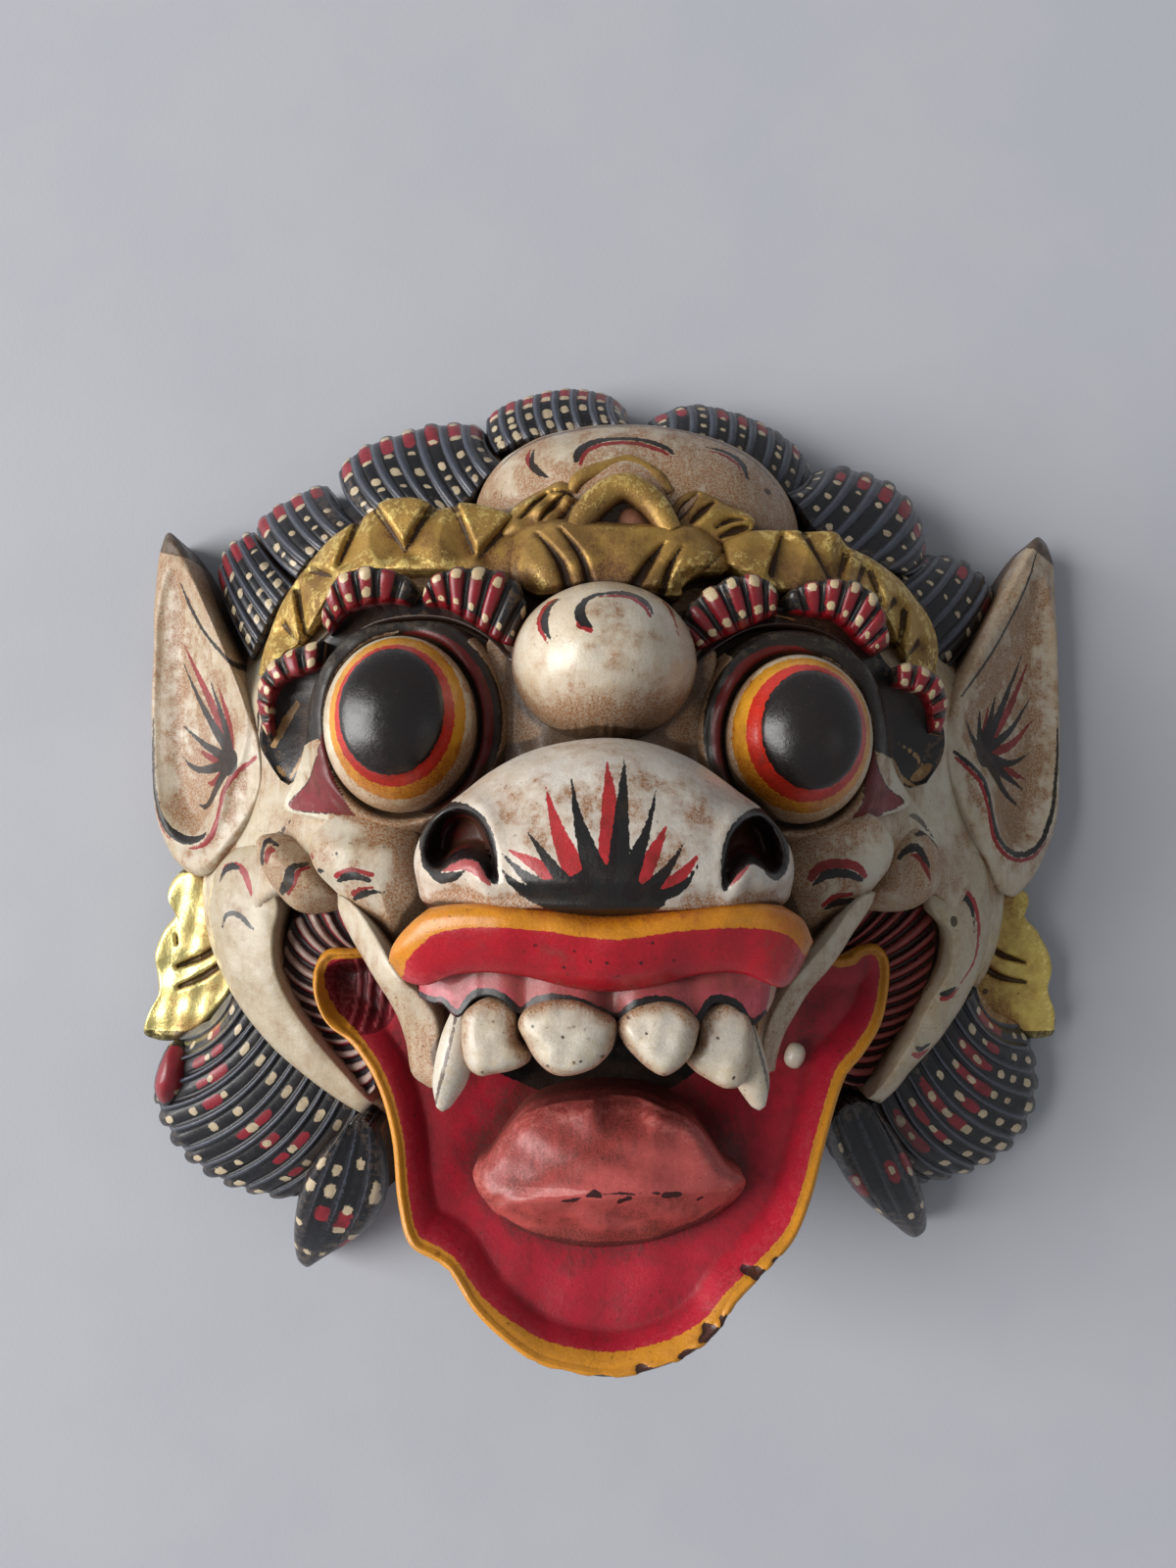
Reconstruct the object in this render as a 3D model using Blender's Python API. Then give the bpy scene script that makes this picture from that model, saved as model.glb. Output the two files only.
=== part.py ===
"""Barong mask: a horned-browed lion face carved from one block of soft wood.

The mask lies on its back.  X runs to its left ear's side as seen from the front, Y to the top of the
head, Z out of the face, and the origin is under the middle of the back plane.  Outlines are in
millimetres, given for the half with x > 0 and mirrored by the side they are made for.
"""

import bmesh
import bpy
import numpy as np

MM = 0.001

# Driving heights above the back plane
RIM_TOP = 18.0          # edge of the face block, where ears and hair start
FACE_RISE = 39.0        # how far the middle of the face stands over its edge
EYE_FRONT = 78.0
SNOUT_TOP = 103.0
LIP_Z = 102.0
CHIN_Z = 76.0
MOUTH_CORNER_Z = 38.0
MOUTH_FLOOR_Z = 33.0
HOLLOW_DEPTH = 46.0
MOUTH_FLOOR_RISE = 24.0     # the floor of the mouth climbs this much toward the chin
BACK_EXTRA = 2.0        # stock below the back plane, planed off last
PAST_THE_STOCK = 130.0  # cutters open out to here, clear of the mask
SHARP_ANGLE = 0.6       # radians between faces, past which an edge is drawn sharp

# Rounded forms: middle and half sizes
BUMP_MIDDLE = (0.0, 32.0)
BUMP_SIZE = (17.0, 14.8, 20.0)
BUMP_FOOT = 62.0
EYE_MIDDLE = (34.2, 19.5)
EYE_SIZE = (13.6, 15.0, 14.0)
NOSTRIL_MIDDLE = (24.3, -1.0)
NOSTRIL_SIZE = (6.5, 6.0, 7.0)
TONGUE_TOP = 74.0
UPPER_JAW_TOP = 90.0
GUM_HALF_WIDTH = 28.0   # past this the upper jaw falls away to the cheek straps
EAR_THICK = 26.0        # ear, where it leaves the head
EAR_THINNING = 0.62     # thickness lost per millimetre outwards
EAR_BOWL = (85.0, 8.0, 5.0)     # where the bowl lies, its half width and depth

# The carver's lean: the top of the head turns clockwise about a point between the eyes
LEAN_PIVOT_Y = 20.0
LEAN_EYES = 0.045
LEAN_TOP = 0.095
EYES_Y = (2.0, 14.0)
TOP_Y = (40.0, 75.0)
LEAN_X = (60.0, 95.0)

# Half outlines, from the top of the head round to the chin
FACE = [(0, 78), (36, 77), (63, 68), (80, 52), (84, 30), (84, 5), (89, -10), (88, -24), (83, -36),
        (72, -50), (58, -60), (46, -66), (38, -70), (24, -75), (0, -76)]
DOME = [(0, 88.5), (15, 85.5), (28.8, 77.5), (34.6, 66.5), (32, 54), (0, 46)]
EYE_SOCKET = [(34, 40), (49, 35), (56, 22), (52, 6), (38, -2), (24, 3), (17, 16), (20, 33)]
SNOUT = [(0, 17.5), (13.2, 16.3), (25, 10), (31.5, 1), (32.6, -8), (27, -13), (0, -15)]
UPPER_JAW = [(0, 8), (38, 4), (52, -10), (49, -19), (41, -31), (34, -42), (28, -41), (27, -30), (0, -29)]
JAW = [(0, -18), (40, -19), (52, -23.5), (58.5, -26), (59, -32), (54, -39.5), (46.7, -46.5),
       (41.7, -54.8), (38, -63.4), (34.5, -71.5), (28.5, -78.4), (21.5, -86), (12, -91.6), (0, -93.6)]
TONGUE = [(0, -50.5), (13, -52.5), (21, -57.5), (23.4, -63.2), (13, -73), (0, -76.5)]
EAR = [(98, 65.5), (102.8, 55), (104.4, 35), (103.8, 17), (101, 2), (94, -7), (85, -9), (77, -1),
       (73, 12), (75, 27), (81, 39), (87, 51), (92.5, 60)]
EARRING = [(97.5, -10), (90, -13), (84, -21), (82, -34), (88, -43), (97, -47), (106, -49.8),
           (105.6, -43), (103, -32), (99.5, -23), (101, -16)]
ORNAMENT = [(0, 76), (7, 70), (12, 64), (21, 61), (22, 50), (0, 47)]
HAIR_TOP = [(3, 88), (7, 97.6), (19, 99.4), (31, 95.5), (38.5, 87.5), (33, 74), (14, 80)]
HAIR_MIDDLE = [(33, 78), (35, 84), (44, 88.2), (56, 85.8), (64.5, 80), (68.6, 73), (64, 60), (44, 62)]
HAIR_SIDE = [(62, 64), (65, 69), (74, 70.5), (82, 67), (85.5, 61), (80, 50), (68, 50)]
HAIR_EAR = [(80, 61), (86, 62.5), (90.5, 56), (88.5, 47), (82, 36), (74, 42)]
HAIR_LOWER = [(88, -36), (99.5, -47), (101.5, -60), (97.6, -72), (89, -80), (76, -84.5), (64, -84),
              (52, -62), (62, -46)]
HOLLOW = [(0, 52), (30, 49), (54, 36), (63, 16), (64, -8), (56, -32), (42, -48), (24, -60), (0, -63)]


def smooth_step(value, low, high):
    """0 below low, 1 above high, with an S curve between."""
    t = np.clip((value - low) / (high - low), 0, 1)
    return t * t * (3 - 2 * t)


def lean(points):
    """The carver's lean, a small turn that grows toward the top and fades at the ears."""
    x, y = points[:, 0].copy(), points[:, 1].copy()
    inner = 1 - smooth_step(np.abs(x), *LEAN_X)
    turn = inner * (LEAN_EYES * smooth_step(y, *EYES_Y) + LEAN_TOP * smooth_step(y, *TOP_Y))
    points[:, 0] = x + turn * (y - LEAN_PIVOT_Y)
    points[:, 1] = y - turn * x
    return points


def curve_through(points, count, closed=True):
    """A Catmull-Rom curve through the points, sampled at even steps of its length."""
    p = np.asarray(points, float)
    if closed:
        p = np.concatenate([p[-1:], p, p[:2]])
    else:
        p = np.concatenate([2 * p[:1] - p[1:2], p, 2 * p[-1:] - p[-2:-1]])
    t = np.linspace(0, 1, 24, endpoint=False)[None, :, None]
    a, b, c, d = p[:-3, None], p[1:-2, None], p[2:-1, None], p[3:, None]
    fine = 0.5 * (2 * b + (c - a) * t + (2 * a - 5 * b + 4 * c - d) * t**2
                  + (3 * b - a - 3 * c + d) * t**3)
    fine = np.concatenate([fine.reshape(-1, p.shape[1]), p[-2:-1]])
    along = np.concatenate([[0], np.cumsum(np.linalg.norm(np.diff(fine, axis=0), axis=1))])
    at = np.linspace(0, along[-1], count, endpoint=not closed)
    return np.stack([np.interp(at, along, fine[:, k]) for k in range(p.shape[1])], axis=1)


def both_halves(half):
    """A closed outline from one half, whose first and last points lie on the middle line."""
    half = np.asarray(half, float)
    other = half[-2:0:-1] * [-1, 1]
    return np.concatenate([half, other])


def on_side(points, side):
    """The points moved to a side: 1 keeps x, -1 turns it over."""
    return np.asarray(points, float) * ([side, 1] if len(points[0]) == 2 else [side, 1, 1])


def grid_mesh(name, rings):
    """A closed mesh from rings of points, each ring joined to the next, with a point at both ends."""
    count = rings.shape[1]
    first, last = rings[0].mean(axis=0), rings[-1].mean(axis=0)
    points = np.concatenate([rings.reshape(-1, 3), [first, last]])
    index = np.arange(rings.shape[0] * count).reshape(rings.shape[0], count)
    after = np.roll(index, -1, axis=1)
    quads = np.stack([index[:-1], after[:-1], after[1:], index[1:]], axis=-1).reshape(-1, 4)
    top, foot = len(points) - 2, len(points) - 1
    fans = [(top, b, a) for a, b in zip(index[0], after[0])]
    fans += [(foot, a, b) for a, b in zip(index[-1], after[-1])]
    faces = [tuple(q[::-1]) for q in quads] + [f[::-1] for f in fans]
    return add_mesh(name, lean(points), faces)


def add_mesh(name, points, faces):
    mesh = bpy.data.meshes.new(name)
    mesh.from_pydata((points * MM).tolist(), [], [tuple(int(i) for i in f) for f in faces])
    mesh.update()
    if signed_volume(mesh) < 0:
        mesh.flip_normals()
    made = bpy.data.objects.new(name, mesh)
    bpy.context.scene.collection.objects.link(made)
    return made


def signed_volume(mesh):
    """Six times the volume inside the faces, negative if they point inwards."""
    mesh.calc_loop_triangles()
    points = np.empty(len(mesh.vertices) * 3)
    mesh.vertices.foreach_get("co", points)
    corners = np.empty(len(mesh.loop_triangles) * 3, np.int32)
    mesh.loop_triangles.foreach_get("vertices", corners)
    return float(np.linalg.det(points.reshape(-1, 3)[corners.reshape(-1, 3)]).sum())


def relief(name, outline, top, foot, spokes, rings=4, middle=None, foot_scale=0.94):
    """A raised form over a flat outline: z = top(x, y, r), r from 0 in the middle to 1 at the edge,
    with sides that run down to the foot level and draw in by foot_scale."""
    edge = curve_through(outline, spokes)
    middle = edge.mean(axis=0) if middle is None else np.asarray(middle, float)
    levels = []
    for r in np.linspace(1 / rings, 1, rings):
        flat = middle + r * (edge - middle)
        levels.append(np.column_stack([flat, top(flat[:, 0], flat[:, 1], np.full(spokes, r))]))
    low = middle + foot_scale * (edge - middle)
    levels.append(np.column_stack([low, np.full(spokes, foot)]))
    return grid_mesh(name, np.array(levels))


def band(name, path, widths, rise, foot, steps, across=5):
    """A rounded bar along a path of (x, y, z) crest points, its half width given at each point,
    round on top by rise and flat at the foot level."""
    line = curve_through([(*p, w) for p, w in zip(path, widths)], steps, closed=False)
    way = np.gradient(line[:, :2], axis=0)
    way /= np.linalg.norm(way, axis=1)[:, None]
    side = np.column_stack([-way[:, 1], way[:, 0]])
    turn = np.linspace(-np.pi / 2, np.pi / 2, across)
    offset = np.concatenate([np.sin(turn), [0.9, -0.9]])
    drop = np.concatenate([rise * (1 - np.cos(turn)), [0, 0]])
    flat = line[:, None, :2] + side[:, None] * (line[:, 3:4] * offset)[..., None]
    height = line[:, None, 2] - drop
    height[:, -2:] = foot
    rings = np.concatenate([flat, height[..., None]], axis=2)
    return grid_mesh(name, rings)


def face_block():
    def top(x, y, r):
        return RIM_TOP + FACE_RISE * (1 - r**3.2) - 0.1 * np.maximum(y - 30, 0)
    return relief("block", both_halves(FACE), top, -BACK_EXTRA, 48, 6, (0, 4), 0.98)


def dome():
    def top(x, y, r):
        return 20 + 28 * np.sqrt(1.04 - r**2)
    return relief("dome", both_halves(DOME), top, -BACK_EXTRA, 28, 4, (0, 62), 1.0)


def crown(side):
    """A gilded band of folded triangles: its crest zigzags between the upper and lower edge."""
    upper = curve_through([(18, 60), (34, 64.5), (46.5, 64), (58, 59), (67, 52), (73.5, 42)], 12, False)
    lower = curve_through([(18, 48), (34, 48.5), (47, 48), (56, 43), (62, 37), (69, 35)], 12, False)
    height = np.linspace(53, 31, 12)
    fold = np.where(np.arange(12) % 2 == 0, 0.12, 0.88)[:, None]
    crest = lower + fold * (upper - lower)
    rings = [np.column_stack([upper, height - 5]), np.column_stack([crest, height + 2.5]),
             np.column_stack([lower, height - 1]), np.column_stack([lower, height * 0 + 10]),
             np.column_stack([upper, height * 0 + 10])]
    rings = np.array(rings).transpose(1, 0, 2) * [side, 1, 1]
    return grid_mesh("crown", rings)


def ornament():
    def top(x, y, r):
        return 58 - 0.42 * (y - 48) + 3 * (1 - r)
    return relief("ornament", both_halves(ORNAMENT), top, 20, 28, 2, (0, 58), 1.0)


def brow(side, path, widths):
    return band("brow", on_side(path, side), widths, 5, 25, 10, 7)


def socket(side):
    def top(x, y, r):
        return 66 - 5 * r**2 - 0.32 * np.abs(x)
    return relief("socket", on_side(EYE_SOCKET, side), top, 20, 18, 2)


def eye(side):
    """A bulging ball, cut by the face behind it."""
    turn = np.linspace(0, 2 * np.pi, 18, endpoint=False)
    tilt = np.linspace(0.3, 2.2, 6)[:, None]
    ball = np.stack([side * EYE_MIDDLE[0] + EYE_SIZE[0] * np.sin(tilt) * np.cos(turn),
                     EYE_MIDDLE[1] + EYE_SIZE[1] * np.sin(tilt) * np.sin(turn),
                     EYE_FRONT - EYE_SIZE[2] * (1 - np.cos(tilt)) + 0 * turn], axis=-1)
    return grid_mesh("eye", ball)


def bump():
    def top(x, y, r):
        return BUMP_FOOT + BUMP_SIZE[2] * np.sqrt(1.02 - r**2)
    turn = np.linspace(0, 2 * np.pi, 12, endpoint=False)
    outline = np.column_stack([BUMP_SIZE[0] * np.cos(turn), BUMP_MIDDLE[1] + BUMP_SIZE[1] * np.sin(turn)])
    return relief("bump", outline, top, 40, 20, 4, BUMP_MIDDLE, 1.0)


def snout():
    def top(x, y, r):
        crest = SNOUT_TOP - 0.028 * np.maximum(y + 6, 0) ** 2
        nostril = np.hypot((np.abs(x) - NOSTRIL_MIDDLE[0]) / NOSTRIL_SIZE[0],
                           (y - NOSTRIL_MIDDLE[1]) / NOSTRIL_SIZE[1])
        return crest - 0.012 * x**2 - 8 * r**6 - NOSTRIL_SIZE[2] * np.exp(-nostril**2)
    return relief("snout", both_halves(SNOUT), top, 34, 38, 6, (0, 0), 1.0)


def upper_lip():
    path = [(-35.5, -21, 84), (-29.5, -16.5, 92), (-20, -14, 98.5), (-10, -13.8, LIP_Z),
            (0, -15.2, LIP_Z + 2), (10, -13.8, LIP_Z), (20, -14, 98.5), (29.5, -16.5, 92), (35.5, -21, 84)]
    widths = [2.5, 6, 5.8, 5.4, 5.6, 5.4, 5.8, 6, 2.5]
    return band("upper_lip", path, widths, 6, 74, 22, 7)


def upper_jaw():
    def top(x, y, r):
        fall = 2.4 * np.maximum(np.abs(x) - GUM_HALF_WIDTH, 0)
        return np.maximum(UPPER_JAW_TOP - 0.004 * x**2 - fall, MOUTH_FLOOR_Z + 12)
    return relief("upper_jaw", both_halves(UPPER_JAW), top, MOUTH_FLOOR_Z + 6, 48, 4, (0, -12), 0.9)


def tooth(x, width, length, front):
    """A front tooth: a rounded spade hanging from the gum."""
    turn = np.linspace(0, 2 * np.pi, 10, endpoint=False)
    down = np.linspace(0, 1, 5)[:, None]
    wide = width / 2 * np.sqrt(1 - 0.75 * down**3)
    rings = np.stack([x + wide * np.cos(turn), -22.5 - (length + 1.5) * down - 1.3 * np.sin(turn),
                      front - 6.2 - 9 * (1 - down) ** 2 + 5.6 * np.sqrt(1 - 0.6 * down**4) * np.sin(turn)],
                     axis=-1)
    return grid_mesh("tooth", rings)


def fang(side):
    turn = np.linspace(0, 2 * np.pi, 8, endpoint=False)
    down = np.linspace(0, 1, 5)[:, None]
    wide = 3.6 * (1 - down) + 0.5
    rings = np.stack([side * (25.4 + 1.6 * down) + wide * np.cos(turn), -24.6 - 19.9 * down + 0 * turn,
                      81.3 + 5.4 * down + 1.1 * wide * np.sin(turn)], axis=-1)
    return grid_mesh("fang", rings)


def jaw_rim_height(y):
    """The jaw's rim climbs from the mouth corners to the chin."""
    return MOUTH_CORNER_Z + (CHIN_Z - MOUTH_CORNER_Z) * smooth_step(-y, 24, 96) ** 0.8


def jaw():
    def top(x, y, r):
        return jaw_rim_height(y)
    return relief("jaw", both_halves(JAW), top, -BACK_EXTRA, 50, 2, (0, -52), 0.8)


def mouth_space():
    """What is carved out between the upper jaw, the jaw's rim and the tongue: a bowl whose floor
    climbs toward the chin."""
    spokes = 44
    inner = curve_through(both_halves(JAW), spokes)
    middle = np.array([0, -50.0])
    levels = []
    for r, share in ((0.3, 0.0), (0.6, 0.0), (0.8, 0.35), (0.93, 1.0)):
        flat = middle + r * (inner - middle)
        floor = MOUTH_FLOOR_Z + MOUTH_FLOOR_RISE * smooth_step(-flat[:, 1], 42, 82)
        rim = jaw_rim_height(flat[:, 1]) - 1.0
        levels.append(np.column_stack([flat, floor + share * (rim - floor)]))
    levels.append(np.column_stack([inner, np.full(spokes, PAST_THE_STOCK)]))
    return grid_mesh("mouth_space", np.array(levels))


def tongue():
    def top(x, y, r):
        return TONGUE_TOP - 0.03 * (y + 61) ** 2 - 6 * r**3
    return relief("tongue", both_halves(TONGUE), top, MOUTH_FLOOR_Z - 4, 28, 3, (0, -62), 0.9)


def cheek(side, middle, size, height):
    def top(x, y, r):
        return height - 7 * r**2
    turn = np.linspace(0, 2 * np.pi, 8, endpoint=False)
    outline = np.column_stack([middle[0] + size[0] * np.cos(turn), middle[1] + size[1] * np.sin(turn)])
    return relief("cheek", on_side(outline, side), top, 15, 14, 2)


def cheek_crescent(side):
    path = [(72, 2, 27), (75.2, -8, 33), (75.4, -18, 35), (72.6, -29.5, 36), (66, -41.5, 36),
            (57.5, -50.5, 37), (51, -56, 37)]
    return band("cheek_crescent", on_side(path, side), [4, 7, 6.4, 5.6, 4.4, 2.8, 1.4], 6, 8, 16)


def ear(side):
    """A leaf-shaped ear: thin at its outer rim, hollow along the middle and thick by the face."""
    def top(x, y, r):
        bowl = EAR_BOWL[2] * np.exp(-(((np.abs(x) - EAR_BOWL[0]) / EAR_BOWL[1]) ** 2)) * (1 - r**4)
        return EAR_THICK - EAR_THINNING * (np.abs(x) - 75) - bowl
    return relief("ear", on_side(EAR, side), top, -BACK_EXTRA, 30, 3, (side * 88, 18), 0.96)


def earring(side):
    def top(x, y, r):
        return 11 - 0.1 * (np.abs(x) - 84)
    return relief("earring", on_side(EARRING, side), top, -BACK_EXTRA, 26, 2)


def hair_lobe(side, outline, height, spokes=16):
    def top(x, y, r):
        return height * np.sqrt(1.12 - r**2) + 3
    return relief("hair", on_side(outline, side), top, -BACK_EXTRA, spokes, 3, None, 1.0)


def hair_lock(side):
    """The pointed lock beside the jaw, longer on the mask's own right."""
    tip = np.array([70, -95, 5]) if side > 0 else np.array([66.5, -101.5, 5])
    path = [(48, -58, 24), (52, -72, 17), (59, -84, 12), tip]
    return band("hair_lock", on_side(path, side), [7, 8, 6.5, 0.8], 4, -BACK_EXTRA, 9)


def hollow():
    """The inside, scooped from the back, deepest behind the snout."""
    spokes = 36
    edge = curve_through(both_halves(HOLLOW), spokes)
    middle = np.array([0, -2.0])
    levels = [np.column_stack([edge * 1.02, np.full(spokes, -20.0)]),
              np.column_stack([edge, np.full(spokes, 2.0)])]
    for r, share in ((0.9, 0.45), (0.72, 0.75), (0.45, 0.95)):
        flat = middle + r * (edge - middle)
        levels.append(np.column_stack([flat, share * hollow_depth(flat)]))
    return grid_mesh("hollow", np.array(levels[::-1]))


def hollow_depth(flat):
    """Shallower under the mouth, so that its floor stays a true thickness."""
    return HOLLOW_DEPTH - 24 * smooth_step(-flat[:, 1], 12, 36)


def back_stock():
    """A slab that planes the back flat."""
    corner = 140.0
    flat = np.array([(-corner, -corner), (corner, -corner), (corner, corner), (-corner, corner)])
    levels = [np.column_stack([flat, np.full(4, z)]) for z in (0.0, -30.0)]
    return grid_mesh("back_stock", np.array(levels))


def collection_of(name, pieces):
    """Helper pieces, gathered for one Boolean and left out of the model."""
    group = bpy.data.collections.new(name)
    bpy.context.scene.collection.children.link(group)
    for piece in pieces:
        group.objects.link(piece)
        bpy.context.scene.collection.objects.unlink(piece)
        piece.hide_render = True
        piece.display_type = "WIRE"
    return group


def boolean(target, group, operation):
    """Joins or cuts with a whole group.  The exact solver leaves faces shared by three here."""
    cut = target.modifiers.new(operation.lower(), "BOOLEAN")
    cut.operation = operation
    cut.operand_type = "COLLECTION"
    cut.collection = group
    cut.solver = "MANIFOLD"


def painted_wood():
    material = bpy.data.materials.new("painted_wood")
    material.use_nodes = True
    shader = material.node_tree.nodes["Principled BSDF"]
    shader.inputs["Base Color"].default_value = (0.62, 0.52, 0.38, 1)
    shader.inputs["Roughness"].default_value = 0.4
    shader.inputs["Metallic"].default_value = 0.0
    return material


def outer_forms():
    """Everything that stands on the block before the mouth is opened."""
    made = [dome(), ornament(), bump(), snout(), jaw()]
    brows = [([(15, 38, 61), (22, 44.5, 64), (31, 46, 63), (37, 40, 60)], [4, 7, 6.5, 3]),
             ([(37, 38, 57), (41, 46, 60), (50, 47, 58), (57, 38, 53)], [3, 6.5, 6.5, 3.5]),
             ([(57, 36, 53), (64, 35, 51), (69.5, 27, 47), (69, 15, 44)], [3, 6, 6.5, 3])]
    for side in (-1, 1):
        made += [crown(side), socket(side), eye(side), ear(side), earring(side)]
        made += [brow(side, path, widths) for path, widths in brows]
        made += [hair_lobe(side, HAIR_TOP, 13), hair_lobe(side, HAIR_MIDDLE, 15),
                 hair_lobe(side, HAIR_SIDE, 12, 13), hair_lobe(side, HAIR_EAR, 10, 11),
                 hair_lobe(side, HAIR_LOWER, 13, 18), hair_lock(side)]
        made += [cheek(side, (47, -3), (12, 9), 63), cheek(side, (62, -1), (11, 11), 50),
                 cheek_crescent(side)]
    return made


def inner_forms():
    """What hangs or lies in the opened mouth."""
    teeth = [tooth(-18.5, 12.5, 12, 94), tooth(-6.8, 15.5, 11.5, 99), tooth(7.4, 14, 12.5, 98),
             tooth(19.2, 11.5, 13, 94)]
    return [upper_jaw(), upper_lip(), tongue(), fang(-1), fang(1)] + teeth


def build_mask():
    mask = face_block()
    mask.name = "mask"
    mask.data.materials.append(painted_wood())
    boolean(mask, collection_of("outer_forms", outer_forms()), "UNION")
    boolean(mask, collection_of("mouth_cutter", [mouth_space()]), "DIFFERENCE")
    boolean(mask, collection_of("inner_forms", inner_forms()), "UNION")
    boolean(mask, collection_of("back_cutters", [hollow(), back_stock()]), "DIFFERENCE")
    clean(mask)


def clean(mask):
    """The Booleans applied, with the chips that they leave loose swept away."""
    bpy.context.view_layer.update()
    graph = bpy.context.evaluated_depsgraph_get()
    form = bmesh.new()
    form.from_mesh(mask.evaluated_get(graph).data)
    bmesh.ops.triangulate(form, faces=form.faces[:])
    largest = max(islands(form), key=len)
    chips = [v for v in form.verts if v not in largest]
    bmesh.ops.delete(form, geom=chips, context="VERTS")
    mask.modifiers.clear()
    form.to_mesh(mask.data)
    form.free()
    mask.data.shade_smooth()
    mask.data.set_sharp_from_angle(angle=SHARP_ANGLE)


def islands(form):
    """The sets of vertices that hang together."""
    left, found = set(form.verts), []
    while left:
        group, edge = set(), [left.pop()]
        while edge:
            vertex = edge.pop()
            group.add(vertex)
            for link in vertex.link_edges:
                other = link.other_vert(vertex)
                if other in left:
                    left.discard(other)
                    edge.append(other)
        found.append(group)
    return found


def main():
    for old in list(bpy.data.objects):
        bpy.data.objects.remove(old)
    build_mask()


main()
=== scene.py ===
"""Barong mask: the carved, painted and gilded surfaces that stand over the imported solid.

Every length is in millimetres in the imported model's own frame, with the mask on its back, X to its left
side as it is faced, Y to the top of its head and Z out of the face.  A mesh is turned to metres as it is
made.  Each piece is a grid of points whose rows are closed rings; what is painted on it is kept as the
distance inside each painted edge, which the finishes read.
"""

import bpy
import numpy as np
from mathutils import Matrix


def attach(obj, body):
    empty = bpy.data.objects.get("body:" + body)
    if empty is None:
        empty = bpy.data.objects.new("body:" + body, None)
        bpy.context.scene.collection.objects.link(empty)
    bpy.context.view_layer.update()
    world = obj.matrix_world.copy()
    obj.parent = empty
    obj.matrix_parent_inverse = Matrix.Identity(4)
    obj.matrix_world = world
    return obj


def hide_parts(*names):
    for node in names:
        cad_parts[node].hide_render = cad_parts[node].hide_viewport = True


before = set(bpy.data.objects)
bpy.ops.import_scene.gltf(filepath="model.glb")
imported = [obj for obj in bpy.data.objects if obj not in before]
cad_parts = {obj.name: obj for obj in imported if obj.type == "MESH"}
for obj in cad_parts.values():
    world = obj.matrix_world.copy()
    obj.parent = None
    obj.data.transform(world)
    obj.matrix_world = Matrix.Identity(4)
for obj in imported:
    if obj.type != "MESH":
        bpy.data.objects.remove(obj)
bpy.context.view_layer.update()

MM = 0.001
FINE = 0.5              # grid step where paint has fine edges
WALL_STEP = 3.0         # and down the sides of a form
FAR_OUTSIDE = -6.0      # distance given to a point well away from an ink
INK_EDGE = 0.07         # how softly an ink ends
STROKE_REACH = 3.0      # how far beyond a stroke its distance is worked out
AREA_REACH = 5.0        # and beyond an outline

# Heights above the back plane, as the solid has them
BACK_Z = 0.05           # the flat back rim, a hair above the plane it lies on
RIM_TOP = 18.0
FACE_RISE = 39.0
CHIN_Z = 76.0
MOUTH_CORNER_Z = 38.0
MOUTH_FLOOR_Z = 33.0
HOLLOW_DEPTH = 45.0
MOUTH_RISE = 26.0       # how much shallower the hollow is under the mouth
SEAT_DEPTH = 8.0        # the block is cut this far under the jaw's bowl
FAN_SEAT = 16.0         # and this far under the fans
WOOD_OVER_HOLLOW = 5.0
FOOT_IN_WOOD = 4.5
UPPER_JAW_Z = 88.0
BRIDGE_Z = 63.8
SOCKET_Z = 57.0
BUMP_Z = (61.5, 20.0)   # the edge of the boss and its rise over that
DOME_Z = (21.0, 29.0)   # and of the dome

# The carver's lean: the top of the head turns clockwise about a point between the eyes
LEAN_PIVOT_Y = 20.0
LEAN_EYES = 0.045
LEAN_TOP = 0.095
EYES_Y = (2.0, 14.0)
TOP_Y = (40.0, 75.0)
LEAN_X = (60.0, 95.0)


# ------------------------ curves, distances and grids

def smooth_step(value, low, high):
    """0 below low, 1 above high, with an S curve between."""
    t = np.clip((value - low) / (high - low), 0, 1)
    return t * t * (3 - 2 * t)


def lean(points):
    """The carver's lean, a small turn that grows toward the top and fades at the ears."""
    x, y = points[..., 0].copy(), points[..., 1].copy()
    inner = 1 - smooth_step(np.abs(x), *LEAN_X)
    turn = inner * (LEAN_EYES * smooth_step(y, *EYES_Y) + LEAN_TOP * smooth_step(y, *TOP_Y))
    points[..., 0] = x + turn * (y - LEAN_PIVOT_Y)
    points[..., 1] = y - turn * x
    return points


def curve_through(points, count, closed=True):
    """A Catmull-Rom curve through the points, sampled at even steps of its length."""
    p = np.asarray(points, float)
    if closed:
        p = np.concatenate([p[-1:], p, p[:2]])
    else:
        p = np.concatenate([2 * p[:1] - p[1:2], p, 2 * p[-1:] - p[-2:-1]])
    t = np.linspace(0, 1, 24, endpoint=False)[None, :, None]
    a, b, c, d = p[:-3, None], p[1:-2, None], p[2:-1, None], p[3:, None]
    fine = 0.5 * (2 * b + (c - a) * t + (2 * a - 5 * b + 4 * c - d) * t**2
                  + (3 * b - a - 3 * c + d) * t**3)
    fine = np.concatenate([fine.reshape(-1, p.shape[1]), p[-2:-1]])
    steps = np.linalg.norm(np.diff(fine[:, :3], axis=0), axis=1)
    along = np.concatenate([[0], np.cumsum(steps)])
    at = np.linspace(0, along[-1], count, endpoint=not closed)
    return np.stack([np.interp(at, along, fine[:, k]) for k in range(p.shape[1])], axis=1)


def length_of(points, closed=True):
    """Length of the curve through the points, in the plane."""
    line = curve_through(np.asarray(points, float)[:, :2], 200, closed)
    return float(np.linalg.norm(np.diff(line, axis=0), axis=1).sum())


def both_halves(half):
    """A closed outline from one half, whose first and last points lie on the middle line."""
    half = np.asarray(half, float)
    return np.concatenate([half, half[-2:0:-1] * [-1, 1]])


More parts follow.
